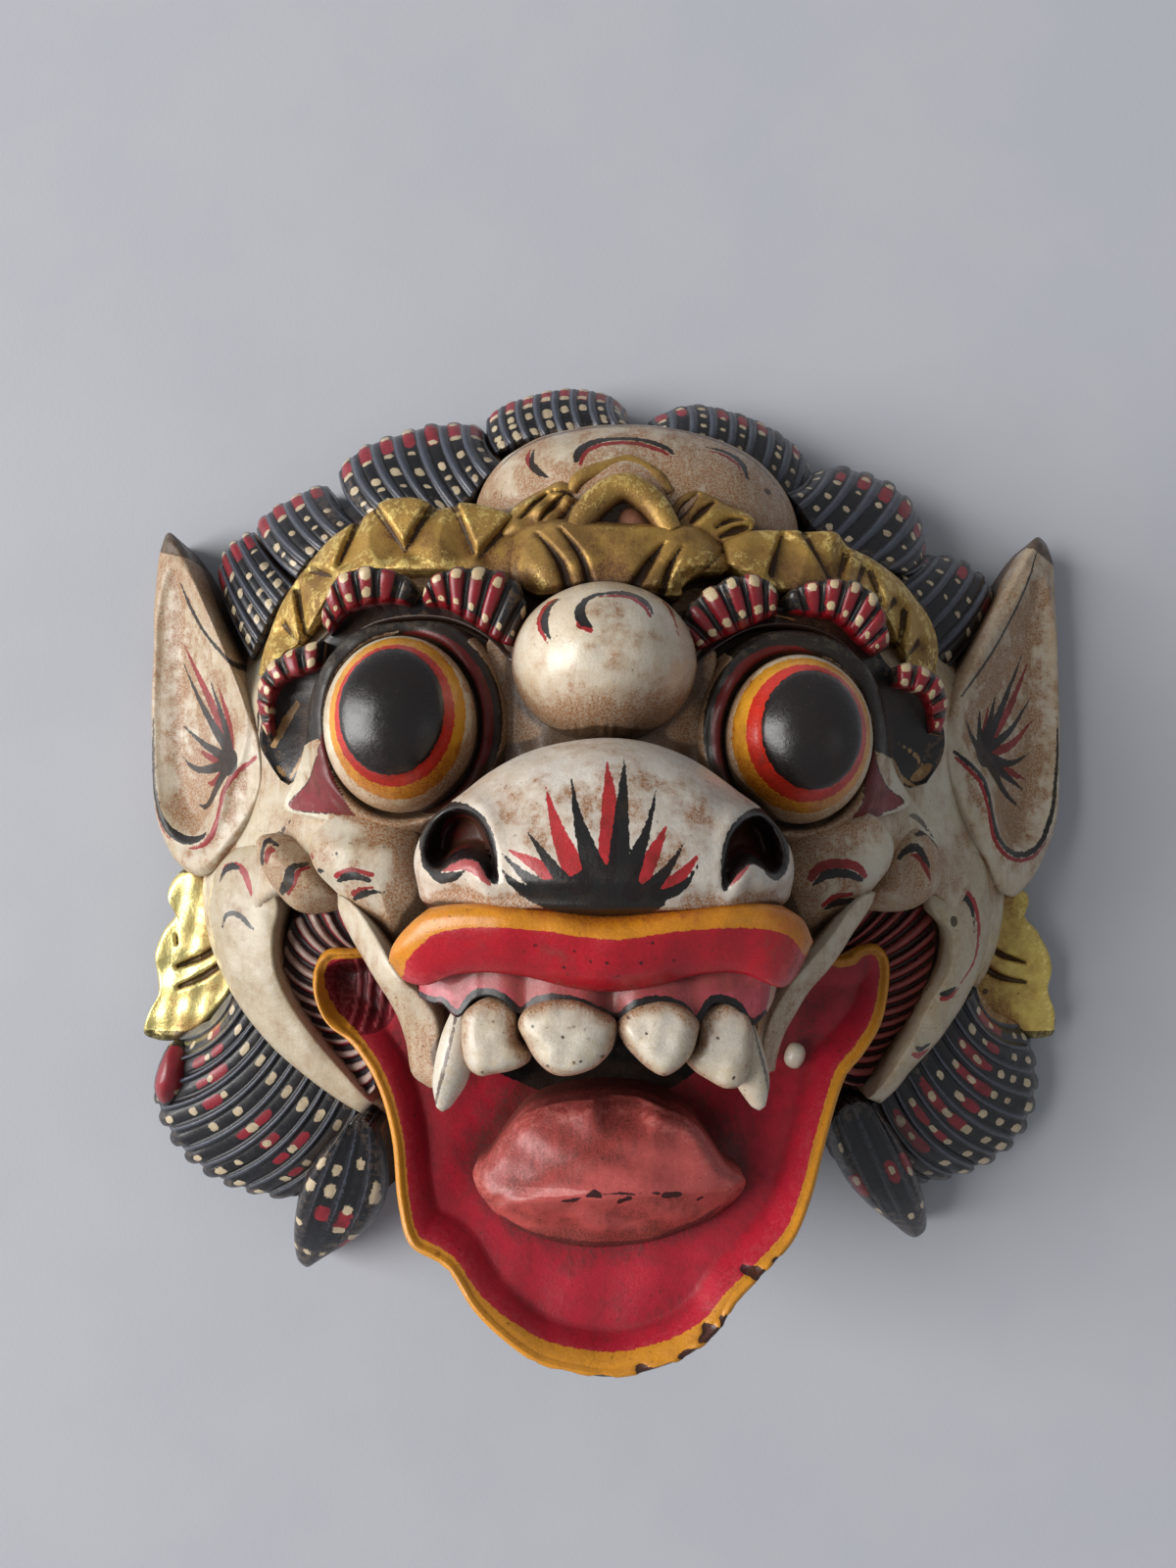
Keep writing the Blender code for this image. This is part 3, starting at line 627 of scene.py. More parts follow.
def gum():
    """Pink flesh that bulges over each tooth in a flattened bell curve, with folds between."""
    low = [(x, y - 0.55) for x, y in SCALLOP]
    rings, _, v = lobe(GUM_TOP, low, swell=0.6, z_outer=90.5, z_inner=91.5, foot=78, step=0.4, ends=20)
    x, y = xy(rings)
    bulge = np.sqrt(np.sum([np.exp(-(((x - m) / 5.4) ** 4)) for m in TOOTH_MIDDLES], axis=0))
    front = v < 1
    gain = 3.2 * np.minimum(bulge, 1.1) - 0.010 * x**2
    rings[..., 2] += np.where(front & (rings[..., 2] > 84), gain * smooth_step(1 - v, 0.02, 0.5), 0)
    at = flat(rings)
    carve("gum", rings, "gum", line=stroke(at, widened(SCALLOP, SCALLOP_WIDTHS), 160),
          folds=strokes(at, *GUM_FOLDS))


TEETH = [("tooth_1", (-19, -31), 93.4, 5.5, [(-23.7, -27.5), (-22.4, -25.8), (-19.8, -24.4), (-17.2, -24.8),
    (-15.2, -26.4), (-14.6, -29), (-14.2, -31.6), (-12.8, -33.4), (-13.1, -35.2), (-15.6, -36.4),
    (-18.6, -37), (-20.8, -37.3), (-22.8, -36.2), (-23.9, -34), (-24.2, -31.1)]), ("tooth_2", (-6.8, -30),
    98.2, 6.5, [(-14.6, -28.4), (-13.6, -25.8), (-10.3, -24.2), (-7.8, -23.9), (-4.7, -24.2), (-1.4, -25.8),
    (0.9, -27.4), (1.1, -29.9), (0.1, -32.8), (-2.5, -35), (-5.7, -36.1), (-8.8, -36), (-11.5, -34.2),
    (-13.6, -31)]), ("tooth_3", (7.7, -30.3), 97.4, 6.5, [(1.1, -28.2), (2.8, -26), (5.3, -24.7),
    (8.1, -24.3), (10.8, -24.8), (12.9, -26.2), (14.2, -28.1), (14, -30.8), (13, -33.2), (10.9, -35.4),
    (8.6, -36.4), (6.2, -35.4), (3.8, -33.4), (1.9, -31.1)]), ("tooth_4", (18.6, -32), 92.8, 5.5,
    [(14.3, -28.2), (16, -26), (18.3, -25.3), (20.5, -25.8), (22.4, -27.6), (23.3, -30.3), (23.3, -33.6),
    (22.6, -37), (20.9, -39.2), (18.5, -39.4), (16, -38.2), (13.6, -36.6), (12.3, -34.6), (13.8, -31.9)])]
SPOTS = [(-12.1, -27.7), (2.9, -26.7), (-9.8, -33.8), (-5.7, -33.1), (-4.7, -32.9), (-1.3, -32.4),
    (8.5, -35.6), (19.7, -36.8), (-20.4, -35.9), (-7.4, -29.2), (5.6, -28.8), (17.2, -30.5)]


def teeth():
    """Four upper teeth, each flat in front and rolled over toward its edge, more so at its tip."""
    for name, middle, front, roll, outline in TEETH:
        def top(x, y, r, front=front, roll=roll, middle=middle):
            up = smooth_step(y - middle[1], -1, 5)
            round_off = roll * (1 - 0.7 * up) * (1 - np.sqrt(np.clip(1 - r**3.4, 0, 1)))
            return front - round_off - 0.14 * (y - middle[1]) + uneven(x, y, 4, 0.12, 51)
        rings = relief(outline, top, foot=78, step=0.38, middle=middle, foot_scale=0.92)
        at = flat(rings)
        edge = 1.7 - 1.5 * np.maximum(area(at, outline), 0)
        carve(name, rings, "ivory", spots=dots(at, 0.3, SPOTS), edge=edge)


FANGS = {
    RIGHT: ([(-23.8, -26, 87), (-25, -32, 88.5), (-26.3, -39, 89), (-27.9, -44.9, 86.5)], [(-24.9, -26.2),
        (-26, -32.5), (-27.4, -38), (-28.9, -43.4)]),
    LEFT: ([(21.6, -28, 86), (22.4, -33, 88), (23.6, -39, 89), (25.2, -44.7, 86.5)], [(23.7, -29.3),
        (24.6, -33.6), (25.7, -37.8), (26.5, -41.8)])}
FANG_POINTS = 46
FANG_WIDTHS = (1.6, 2.9, 2.9, 0.9)


def fangs():
    """Long cones, oval across and rounded off at the tip, with a fine dark line down the outer edge."""
    for side, (path, line) in FANGS.items():
        along = curve_through(widened(path, FANG_WIDTHS), FANG_POINTS, closed=False)
        turn = np.linspace(0, 2 * np.pi, FANG_POINTS, endpoint=False)[None, :]
        share = np.linspace(0, 1, FANG_POINTS)
        near_tip = np.sqrt(np.clip(1 - smooth_step(share, 0.93, 1.0) ** 2, 0.02, 1))[:, None]
        wide = along[:, 3:4] * near_tip
        rings = np.stack([along[:, :1] + wide * np.cos(turn), along[:, 1:2] + 0.35 * wide * np.sin(turn),
                          along[:, 2:3] - 3.6 + 1.15 * wide * np.sin(turn)], axis=2)
        line = stroke(flat(rings), widened(line, (0.15, 0.3, 0.3, 0.2)))
        carve("fang", rings, "ivory", side, line=line)


STRAPS = {
    RIGHT: ([(-50.6, -10.9), (-50.2, -13.8), (-47.1, -18.5), (-42.7, -23.3), (-38, -30.3), (-36, -35.8),
        (-34.8, -41.5), (-31.8, -44.2)], [(-50, -10.5), (-46.6, -12), (-41.1, -17.4), (-37.7, -21.8),
        (-35.2, -24.6), (-32.2, -27.2), (-29.6, -31.5), (-29.3, -38), (-30.6, -43.4)]),
    LEFT: ([(50.6, -10.7), (49.4, -13.4), (44.4, -18.2), (37.4, -25.2), (32.6, -32.3), (30.4, -38),
        (29.9, -41.2)], [(50, -10.2), (46, -11.2), (39.6, -17), (33.4, -22.8), (28.6, -30), (26.8, -36),
        (27.4, -41)])}


def straps():
    """The lean bands of cheek that run down beside the teeth and climb in an S curve along the way."""
    for side, (outer, inner) in STRAPS.items():
        rings, u, v = lobe(outer, inner, swell=1.9, z_outer=61, z_inner=65, foot=46, step=0.5, ends=10)
        climb = 12 * smooth_step(u, 0.0, 0.5) * np.where(rings[..., 2] > 55, 1, 0.4) - 3
        rings[..., 2] += climb + uneven(*xy(rings), 8, 0.3, 61)
        carve("strap", rings, "cream", side, stain=smooth_step(u, 0.35, 0.95) * 2.4 - 1.1 + v)


MOLAR = (37.9, -44.4)


def molar():
    """One small lower tooth on the jaw: half an egg, a little uneven round it."""
    turn = np.linspace(0.15, 0.62 * np.pi, 14)[:, None]
    round_it = np.linspace(0, 2 * np.pi, 24, endpoint=False)[None, :]
    x, y = MOLAR
    level = float(jaw_height(np.array([x]), np.array([y]))[0][0])
    rings = np.stack([x + 2.1 * np.sin(turn) * np.cos(round_it) * (1 + 0.12 * np.sin(2 * round_it)),
                      y + 2.7 * np.sin(turn) * np.sin(round_it),
                      level + 0.5 + 2.0 * np.cos(turn) + 0 * round_it], axis=2)
    carve("molar_left", rings, "ivory")


# ------------------------ the snout, the bump and the eyes

SNOUT = [(-30.9, -11.4), (-32.2, -6), (-32.2, -1), (-29.5, 4.4), (-24.6, 8.3), (-19.9, 12), (-13.7, 15.3),
    (-6.7, 17.1), (0.3, 17.7), (7.3, 16.7), (14.3, 13.8), (21.6, 8.6), (25.9, 5.2), (29.3, 0.8), (30.6, -4),
    (29.8, -10), (26, -14), (14, -15.5), (0, -16), (-14, -15.8), (-27, -15)]
NOSTRILS = {
    RIGHT: [(-30.4, -1.4), (-29.7, 2.4), (-27.9, 4.8), (-24.9, 6), (-21.8, 5.4), (-19.5, 3.1), (-18, -0.7),
        (-17.5, -5.2), (-18.8, -4.2), (-20.3, -1.9), (-22.6, -1.4), (-24.9, -2.2), (-27.1, -3.6),
        (-29.1, -3.2)],
    LEFT: [(17.5, -6), (17.5, -2.2), (18.6, 1.6), (21.2, 4.2), (24.7, 4.8), (27.3, 2.4), (28.4, -1.4),
        (27.5, -3.9), (25.5, -4.2), (23.9, -3), (21.7, -2.2), (19.4, -3.7)]}
RED_FLAMES = [[(-16, 0, 0.05), (-11.7, -2.1, 0.95), (-8, -4.8, 1.5)], [(-10.1, 9.6, 0.05), (-8, 2.5, 1.15),
    (-4.8, -4.8, 2.1)], [(-0.5, 13.5, 0.1), (-0.2, 7.1, 1.15), (-0.7, -3.4, 1.5)], [(8.7, 3.9, 0.05),
    (6.6, -0.2, 1), (3.4, -6.2, 1.7)], [(13.7, -0.5, 0.05), (10.7, -3.9, 0.95), (7.1, -6.4, 1.4)]]
BLACK_FLAMES = [[(-16.7, -0.7, 0.05), (-13.9, -3.4, 0.6), (-10.7, -5.7, 1.2)], [(-16.9, -3, 0.05),
    (-14.9, -5.2, 0.65), (-11.7, -7.1, 1.2)], [(-12.8, 2.7, 0.05), (-10.3, -0.7, 0.65), (-7.1, -4.8, 1.2)],
    [(-6.2, 11.2, 0.05), (-4.8, 3.9, 0.85), (-2.1, -4.3, 2.1)], [(2.3, 14.2, 0.05), (1.8, 7.5, 0.9),
    (1.1, -3.4, 1.8)], [(7.2, 9.6, 0.05), (5.5, 3, 0.6), (2.5, -3.9, 1.7)], [(11.4, 1.4, 0.05),
    (8.9, -2.5, 0.65), (5.2, -6.6, 1.4)], [(13.5, -2.1, 0.05), (10.7, -5.7, 0.7), (6.1, -7.5, 1.3)]]
FLAME_ROOT = [(-13.6, -6.4), (-10.7, -4.9), (-7.1, -4.4), (-4.4, -3.4), (-1.6, -2.4), (2, -2.6),
    (3.9, -4.8), (6.4, -6.8), (8.2, -7.6), (7.2, -9), (4.7, -10.2), (2.4, -11.6), (-3.5, -11.6),
    (-6.7, -10), (-10.6, -8.6)]
NOSTRIL_RIMS = [[(-29.3, -2.8, 1.3), (-30, 1.5, 1.5), (-28, 5, 1.3), (-24.5, 6.2, 0.9), (-20.5, 4.6, 0.7),
    (-18.3, 0.8, 0.6), (-17.6, -4.8, 0.3)], [(17.6, -6.2, 0.4), (17.6, -2, 0.7), (18.9, 2, 0.9),
    (21.5, 4.4, 1), (25, 4.6, 1.4), (27.6, 1.8, 1.6), (28, -2.4, 1.4), (26.3, -4.6, 0.9),
    (24.2, -3.4, 0.2)], [(-29.2, -3.2, 0.8), (-27, -4.9, 0.9), (-24.4, -4.4, 0.7), (-22.8, -3.6, 0.2)]]
NOSTRIL_CURLS = [[(-27.4, -3.5, 0.5), (-25, -2.9, 0.8), (-22.6, -2.3, 1), (-20.4, -3.2, 1),
    (-18.7, -5.4, 0.3)], [(18.4, -5.6, 0.3), (20, -3.3, 0.8), (21.8, -2, 0.4)]]
NOSTRIL_LOWEST = 76.0
NOSTRIL_SAMPLES = 90
SNOUT_CREST = 102.8


def nostril(outline, at):
    """Distance inside a nostril."""
    return area(at, outline, NOSTRIL_SAMPLES)


def snout():
    """The snout: a crest that falls off by the square of x and of y, rolled under at its front, with two
    nostrils sunk by an S curve inside a raised rim."""
    def top(x, y, r):
        crest = SNOUT_CREST - 0.021 * np.maximum(y + 6, 0) ** 2 - 0.0115 * x**2 - 7.5 * r**7
        dip = 1.2 * smooth_step(-y, 4.5, 8) + 6.5 * smooth_step(-y, 8.4, 12.5)
        for outline in NOSTRILS.values():
            inside = nostril(outline, pairs(x, y))
            crest = crest + 1.3 * np.exp(-((inside + 1.6) / 1.7) ** 2) * smooth_step(np.abs(x), 15, 21)
            crest = crest - 10.5 * smooth_step(inside, -0.3, 2.2)
        return crest - dip + uneven(x, y, 13, 0.28, 71)
    rings = relief(SNOUT, top, foot=51, step=0.42, middle=(-0.5, 0))
    at = flat(rings)
    x, y = xy(at)
    hole = any_of(*[nostril(outline, at) for outline in NOSTRILS.values()])
    black = any_of(0.75 - np.abs(hole - 0.45), strokes(at, *NOSTRIL_RIMS))
    walls = rings[..., 2] < NOSTRIL_LOWEST
    black, deep, hole = (np.where(walls, FAR_OUTSIDE, f) for f in (black, hole - 4.2, hole))
    carve("snout", rings, "snout", black=black, hole=hole, curl=strokes(at, *NOSTRIL_CURLS), deep=deep,
          red_flame=strokes(at, *RED_FLAMES),
          black_flame=any_of(strokes(at, *BLACK_FLAMES), area(at, FLAME_ROOT) + 0.2),
          low=smooth_step(-y, 5.5, 12) * 3 - 1.4 + 0.5 * smooth_step(np.abs(x), 12, 26))


BUMP_MIDDLE = (-0.5, 32.3)
BUMP_SIZE = (17.0, 14.8)
BRIDGE = [(-22, 37), (-11, 40), (0, 41), (11, 38.5), (20, 35), (19, 27), (18, 19), (18, 12), (10, 9),
    (0, 8), (-10, 9), (-18.5, 12), (-19.5, 20), (-20.5, 28)]


def bridge():
    """The flat of wood between the eyes: its height falls off in an S curve toward both sockets."""
    def top(x, y, r):
        return BRIDGE_Z - 3.2 * smooth_step(np.abs(x), 9, 18) + uneven(x, y, 7, 0.3, 79)
    rings = relief(BRIDGE, top, foot=50, step=0.6, middle=(0, 25))
    at = flat(rings)
    carve("bridge", rings, "cream", stain=1.2 + uneven(*xy(at), 8, 1.0, 80))


BUMP_BLACK = [[(-7.4, 43.2, 0.1), (-9.7, 42, 0.4), (-10.9, 39.8, 0.6), (-11, 37.4, 0.65),
    (-9.9, 34.7, 0.1)], [(-2.7, 36.7, 0.2), (-4.2, 37.5, 0.8), (-4.9, 39.3, 1), (-4.2, 41.4, 0.6),
    (-1.8, 42.9, 0.35), (3.2, 43.4, 0.4), (6.5, 41.8, 0.5), (7.9, 38.9, 0.1)]]
BUMP_RED = [[(-8.2, 43.2, 0.1), (-10.6, 42, 0.4), (-11.8, 39.8, 0.5), (-11.8, 37.2, 0.5),
    (-10.4, 34.1, 0.1)], [(-3.1, 36.1, 0.5), (-4.9, 37, 0.5), (-5.4, 38.9, 0.1)], [(-1.8, 42.4, 0.1),
    (3.1, 42.8, 0.45), (6, 41.1, 0.45), (7.2, 39, 0.3)], [(8.1, 44, 0.1), (11, 41.4, 0.35),
    (12.5, 36, 0.2)]]


def bump():
    """The round boss on the forehead: the upper half of an egg, with small nicks along its lower edge."""
    def top(x, y, r):
        nicks = 0.5 * np.exp(-(((y - 19.5) / 1.2) ** 2)) * np.cos(x * 1.3 + np.sin(x)) ** 2
        round_top = BUMP_Z[0] + BUMP_Z[1] * np.sqrt(np.clip(1.015 - r**2, 0, 1))
        return round_top + uneven(x, y, 12, 0.22, 81) - nicks
    rings = relief(oval(BUMP_MIDDLE, BUMP_SIZE), top, foot=50, step=0.45, middle=BUMP_MIDDLE)
    at = flat(rings)
    low = smooth_step(-at[..., 1], -31, -20) * 3.8 - 1.5
    carve("bump", rings, "bump", black=strokes(at, *BUMP_BLACK), hole=strokes(at, *BUMP_RED), low=low)


EYES = {
    RIGHT: {"middle": (-37.8, 20.9), "size": (14, 16.2, 14), "pupil": ((-37.8, 22.7), (9.2, 11.2)),
        "red": ((-37.5, 22.1), (10.5, 12.6)), "yellow": ((-37.3, 21.8), (12, 14.6))},
    LEFT: {"middle": (35.1, 18.2), "size": (13.3, 15.5, 14), "pupil": ((35.6, 19.5), (8.9, 10.5)),
        "red": ((35, 19), (10.6, 12.2)), "yellow": ((34.6, 18.7), (12.2, 13.9))}}
EYE_Z = 64.0
SOCKETS = {
    RIGHT: [(-38.6, 40), (-31, 40), (-24, 37), (-18.5, 30.5), (-16.8, 22.7), (-18.5, 14), (-24, 7),
        (-32, 1.5), (-40, 0), (-48, 2), (-56, 3.5), (-63.5, 5.3), (-60.5, 12), (-57.5, 19), (-55.5, 27),
        (-51, 34.5), (-46, 38.6)],
    LEFT: [(36.5, 38.5), (29, 38), (22, 34.5), (16.5, 28), (15.3, 20.5), (17, 12.5), (22, 5), (29.5, 0),
        (37, -1.3), (45, 0.8), (52, 3.5), (59.8, 6), (56.6, 12), (53.6, 18), (52, 26), (48, 32.5),
        (43, 36.5)]}
CORNERS = {
    RIGHT: [(-52.4, 20.5), (-54, 15), (-57.1, 10.8), (-62.4, 5.6), (-56, 4.6), (-50.7, 4.4), (-46, 2.4),
        (-48.6, 7.5), (-51.3, 13)],
    LEFT: [(48.5, 18.5), (50.4, 13), (53.6, 9.6), (58.4, 6.3), (53.4, 4.6), (48.6, 2.3), (45.6, 2.8),
        (47.6, 8)]}


def oval_distance(at, middle, size):
    """Rough distance inside an ellipse, and the distance from its middle as a share of its size."""
    reach = np.hypot((at[..., 0] - middle[0]) / size[0], (at[..., 1] - middle[1]) / size[1])
    return (1 - reach) * min(size), reach


def eyes():
    """Two egg-shaped balls; the pupil stands half a millimetre proud."""
    for side, eye in EYES.items():
        rings = ball(eye["middle"], eye["size"], EYE_Z, step=0.42)
        rings[..., 2] += 0.5 * smooth_step(oval_distance(flat(rings), *eye["pupil"])[0], -0.6, 0.6)
        at = flat(rings)
        low = 3.8 * smooth_step(-(at[..., 1] - eye["middle"][1]), 1, 14) - 1.4
        rounds = {name: oval_distance(at, *eye[name])[0] for name in ("pupil", "red", "yellow")}
        carve("eye", rings, "eye", side, low=low, **rounds)


def nasal_bands(side, at, reach):
    """Three bands that hug the nose side of the ball, black, dark red and black, widest a little above
    the middle: the distances inside the whole group and inside its red middle."""
    middle, size = EYES[side]["middle"], EYES[side]["size"]
    turn = np.arctan2((at[..., 1] - middle[1]) / size[1], -side * (at[..., 0] - middle[0]) / size[0])
    away = (reach - 1) * 14.5
    high = 0.2 if side == RIGHT else 0.45
    wide = 4.8 * np.clip(np.cos(turn - high), 0, 1) ** 0.8
    group = np.minimum(away + 0.3, wide - away)
    red = np.minimum(away - 0.24 * wide, 0.66 * wide - away)
    shown = np.abs(turn - high) < 1.54
    return np.where(shown, group, FAR_OUTSIDE), np.where(shown, red, FAR_OUTSIDE)


def sockets():
    """The rimmed bed of each eye: a groove at the ball, a rounded rim and creases toward the nose, each
    a bell curve of the distance from the ball's middle, over a bed that falls in an S curve."""
    for side, outline in SOCKETS.items():
        eye = EYES[side]

        def top(x, y, r, eye=eye, side=side):
            reach = oval_distance(pairs(x, y), eye["middle"], eye["size"][:2])[1]
            nose = smooth_step(-side * (x - eye["middle"][0]), 2, 12)
            bed = SOCKET_Z + (5.5 + 2 * nose) * (1 - smooth_step(reach, 1.12, 1.62))
            rim = 1.3 * np.exp(-((reach - 1.31) / 0.055) ** 2) * (0.35 + 0.65 * nose)
            groove = 2.2 * np.exp(-((reach - 1.0) / 0.045) ** 2)
            crease = 0.9 * np.exp(-((reach - 1.41) / 0.025) ** 2) * nose
            lid = 1.5 * np.exp(-((reach - 1.13) / 0.06) ** 2) * smooth_step(-(y - eye["middle"][1]), 8, 14)
            outer = 9 * smooth_step(side * (x - eye["middle"][0]), 13, 27)
            return bed + rim - groove - crease + lid - outer + uneven(x, y, 8, 0.3, 91)
        rings = relief(outline, top, foot=in_wood, step=0.5, middle=eye["middle"])
        at = flat(rings)
        reach = oval_distance(at, eye["middle"], eye["size"][:2])[1]
        group, red = nasal_bands(side, at, reach)
        corner = area(at, CORNERS[side])
        corner_edge = 0.35 - np.abs(corner)
        out = side * (at[..., 0] - eye["middle"][0])
        above = at[..., 1] - eye["middle"][1] + 0.22 * out - 1 - 13 * smooth_step(-out, 4, 14)
        bed = np.minimum((reach - 1.075) * 14, above)
        black = any_of(group, corner_edge - 0.1, bed, 0.25 - np.abs(reach - 1.0) * 14)
        carve("socket", rings, "cream", side, black=black, dark=any_of(corner, red),
              stain=2.2 - np.abs(reach - 1.05) * 9)


# ------------------------ brows, crown, ornament and dome

BROW_BEDS = {
    RIGHT: ([(-16.5, 43, 60), (-22, 46, 60), (-28, 47, 59), (-34.5, 45.5, 58), (-40, 46, 57), (-46, 45, 56),
        (-52, 41, 54), (-57.5, 36, 53), (-63.5, 32, 51), (-67, 25, 49), (-69, 18.5, 46), (-67.2, 14, 45),
        (-65, 10.8, 45)], [(-17.3, 32, 62), (-22.5, 37.4, 63), (-30, 41, 62), (-38.6, 41.4, 60),
        (-46, 39.6, 58), (-51.6, 34.8, 56), (-55.2, 28.5, 54), (-56.8, 22.5, 51), (-59, 16.5, 48),
        (-61.5, 11.6, 46), (-63.5, 9.8, 45)]),
    LEFT: ([(15, 40, 60), (20, 43, 60), (26, 44.5, 59), (32.5, 43.5, 58), (38, 44, 57), (44, 43.5, 56),
        (49.5, 40, 54), (54.5, 33, 53), (60.5, 29, 51), (65.5, 24, 49), (67.6, 18.9, 46), (67, 14.5, 45),
        (64.2, 10.2, 45)], [(15.6, 31, 62), (20.5, 35.4, 63), (28, 39.4, 62), (36.5, 39.8, 60),
        (43.5, 37.6, 58), (48.6, 33.4, 56), (52, 27, 54), (53.2, 20.5, 51), (55.2, 15.5, 48), (58, 11, 46),
        (61, 9.2, 45)])}
BROWS = {
    RIGHT: [("inner", [(-34.5, 44, 60), (-33.1, 47.4, 62), (-30.2, 48.9, 63), (-27.3, 49.6, 63),
        (-23.9, 49.6, 63), (-20.5, 49.1, 63), (-17.1, 47.4, 62), (-15.2, 44, 61), (-14.9, 40.6, 60)],
        [(-34.1, 43.4, 59), (-30.7, 42.9, 60), (-27.7, 41.5, 61), (-25.3, 40, 61), (-22.8, 38.3, 61),
        (-19.9, 36.4, 61), (-17, 35.4, 61)], 7), ("middle", [(-54.3, 40.4, 55), (-53.3, 43.9, 57),
        (-50.9, 48.2, 59), (-48, 49.5, 60), (-44.5, 50.2, 61), (-40.7, 49.7, 61), (-37.2, 48.5, 60),
        (-35.3, 45.8, 59)], [(-53, 38.5, 55), (-50.3, 41.6, 57), (-47.8, 42.9, 58), (-44.3, 43.7, 58),
        (-40.3, 44, 58), (-36.8, 43.4, 58)], 6), ("outer", [(-66.2, 18.4, 47), (-67.8, 22.6, 48),
        (-67.9, 27.6, 50), (-65.6, 32.4, 52), (-61.2, 35.1, 54), (-57.2, 36.5, 55), (-53.7, 37.2, 56)],
        [(-65.4, 19.6, 48), (-65.2, 23.4, 50), (-64.6, 26.6, 52), (-62.8, 29.3, 53), (-60.4, 30.4, 54),
        (-57.4, 31.2, 55), (-54.2, 32.5, 56)], 6)],
    LEFT: [("inner", [(14.2, 36.4, 60), (14.6, 41.5, 61), (17.4, 44.9, 62), (21.7, 47.3, 63),
        (25.7, 48.3, 63), (29.2, 47.8, 62), (32.2, 45.1, 61)], [(16.6, 34.6, 61), (20.1, 36.4, 61),
        (24.2, 38.2, 61), (28.3, 40.1, 60), (32.1, 42, 59)], 6), ("middle", [(32.8, 43.9, 59),
        (34.6, 46.2, 60), (38.2, 47.3, 61), (42.8, 47.8, 61), (46.9, 47.3, 60), (50.7, 44.6, 59),
        (52.9, 40.3, 57), (54, 36, 55)], [(34.6, 42.2, 58), (38.5, 41.5, 58), (42.6, 41, 58),
        (45.4, 39.3, 57), (47.8, 36.9, 56), (51.3, 34.4, 55)], 7), ("outer", [(55, 32.4, 55),
        (58.2, 33, 54), (61.9, 31.9, 53), (64.8, 29.7, 52), (66.4, 25.3, 50), (65.9, 19.6, 48)],
        [(55.1, 28.9, 55), (58.3, 28, 54), (61, 27.1, 53), (62.7, 24.3, 51), (63.9, 20, 49)], 5)]}
TAN_MARKS = {
    RIGHT: [[(-60.4, 25.9, 0.5), (-63.2, 22.3, 0.85), (-66.4, 17.6, 0.55)], [(-57.9, 20.5, 0.2),
        (-60.2, 15.4, 0.5), (-63.3, 11.2, 0.3)]],
    LEFT: [[(58.3, 18, 0.2), (62.1, 15.6, 0.45), (64.4, 12.2, 0.2)], [(55, 16.6, 0.2), (58.4, 12, 0.5),
        (61.8, 9.6, 0.3)], [(19, 38.4, 0.1), (25, 41.4, 0.35), (31, 41.9, 0.3), (36, 40.9, 0.1)]]}


def mean_length(outer, inner):
    """How long a lobe is along its edges and across them."""
    out_edge, in_edge = (np.asarray(curve_through(e, 30, False))[:, :2] for e in (outer, inner))
    along = (length_of(outer, False) + length_of(inner, False)) / 2
    return along, np.linalg.norm(out_edge - in_edge, axis=1).mean()


def strand_marks(u, v, cords, along, across, rows, seed, first=0, last=99):
    """Dabs of paint laid strand by strand: rows of (place from inner to outer edge, half length, half
    width, how much it strays, the share left out), as the distance inside the nearest dab."""
    draw = np.random.default_rng(seed)
    strand = np.clip(np.floor(u * cords), 0, cords - 1).astype(int)
    side = (u * cords - strand - 0.5) * along / cords
    number = np.arange(cords)
    found = np.full(u.shape, FAR_OUTSIDE)
    for place, long, wide, stray, missing in rows:
        shift = draw.normal(0, stray, cords)
        size = draw.uniform(0.75, 1.2, cords)
        kept = (draw.uniform(0, 1, cords) >= missing) & (number >= first) & (number <= last)
        over = np.abs(side) / (wide * size[strand])
        up = np.abs((v - place) * across - shift[strand]) / (long * size[strand])
        reach = (over**3 + up**3) ** (1 / 3)
        found = np.maximum(found, np.where(kept[strand], (1 - reach) * min(long, wide), FAR_OUTSIDE))
    return found


# The first and last curl that carry cream dabs, for each fan
BROW_SHOWN = {RIGHT: ((0, 9), (0, 3), (0, 9)), LEFT: ((0, 9), (1, 9), (0, 9))}


def brows():
    """Three fans of short curls over each eye, whose strands stand higher than the cords between them,
    and the black scoop beneath them."""
    for side, (outer, inner) in BROW_BEDS.items():
        rings, u, v = lobe(outer, inner, swell=-1.6, foot=44, step=0.5, ends=20)
        at = flat(rings)
        carve("brow_bed", rings, "brow", side, tan=strokes(at, *TAN_MARKS[side]),
              edge=(0.07 - v) * 6)
    for side, fans in BROWS.items():
        for number, (name, outer, inner, curls) in enumerate(fans):
            along, across = mean_length(outer, inner)
            rings, u, v = lobe(outer, inner, swell=2.1, foot=46, step=0.34, ends=8, cords=curls, cord=-0.55,
                               strand=0.75, duty=0.3, scallop=0.05)
            seed = 100 + 10 * number + side
            shown = BROW_SHOWN[side][number]
            cream = strand_marks(u, v, curls, along, across, [(0.86, 0.75, 0.8, 0.2, 0.1),
                                 (0.24, 0.6, 0.75, 0.25, 0.15)], seed, *shown)
            red = strand_marks(u, v, curls, along, across, [(0.55, 3.2, 1.3, 0.3, 0.05)], seed + 5,
                               0, 4 if (side == RIGHT and number < 2) else 9)
            phase = u * curls
            groove = (np.abs(phase - np.round(phase)) - 0.14) * along / curls
            carve("brow_" + name, rings, "brow", side, cream=np.minimum(cream, groove),
                  red=np.minimum(red, groove), base=np.minimum((0.16 - v) * 5, 0.8))


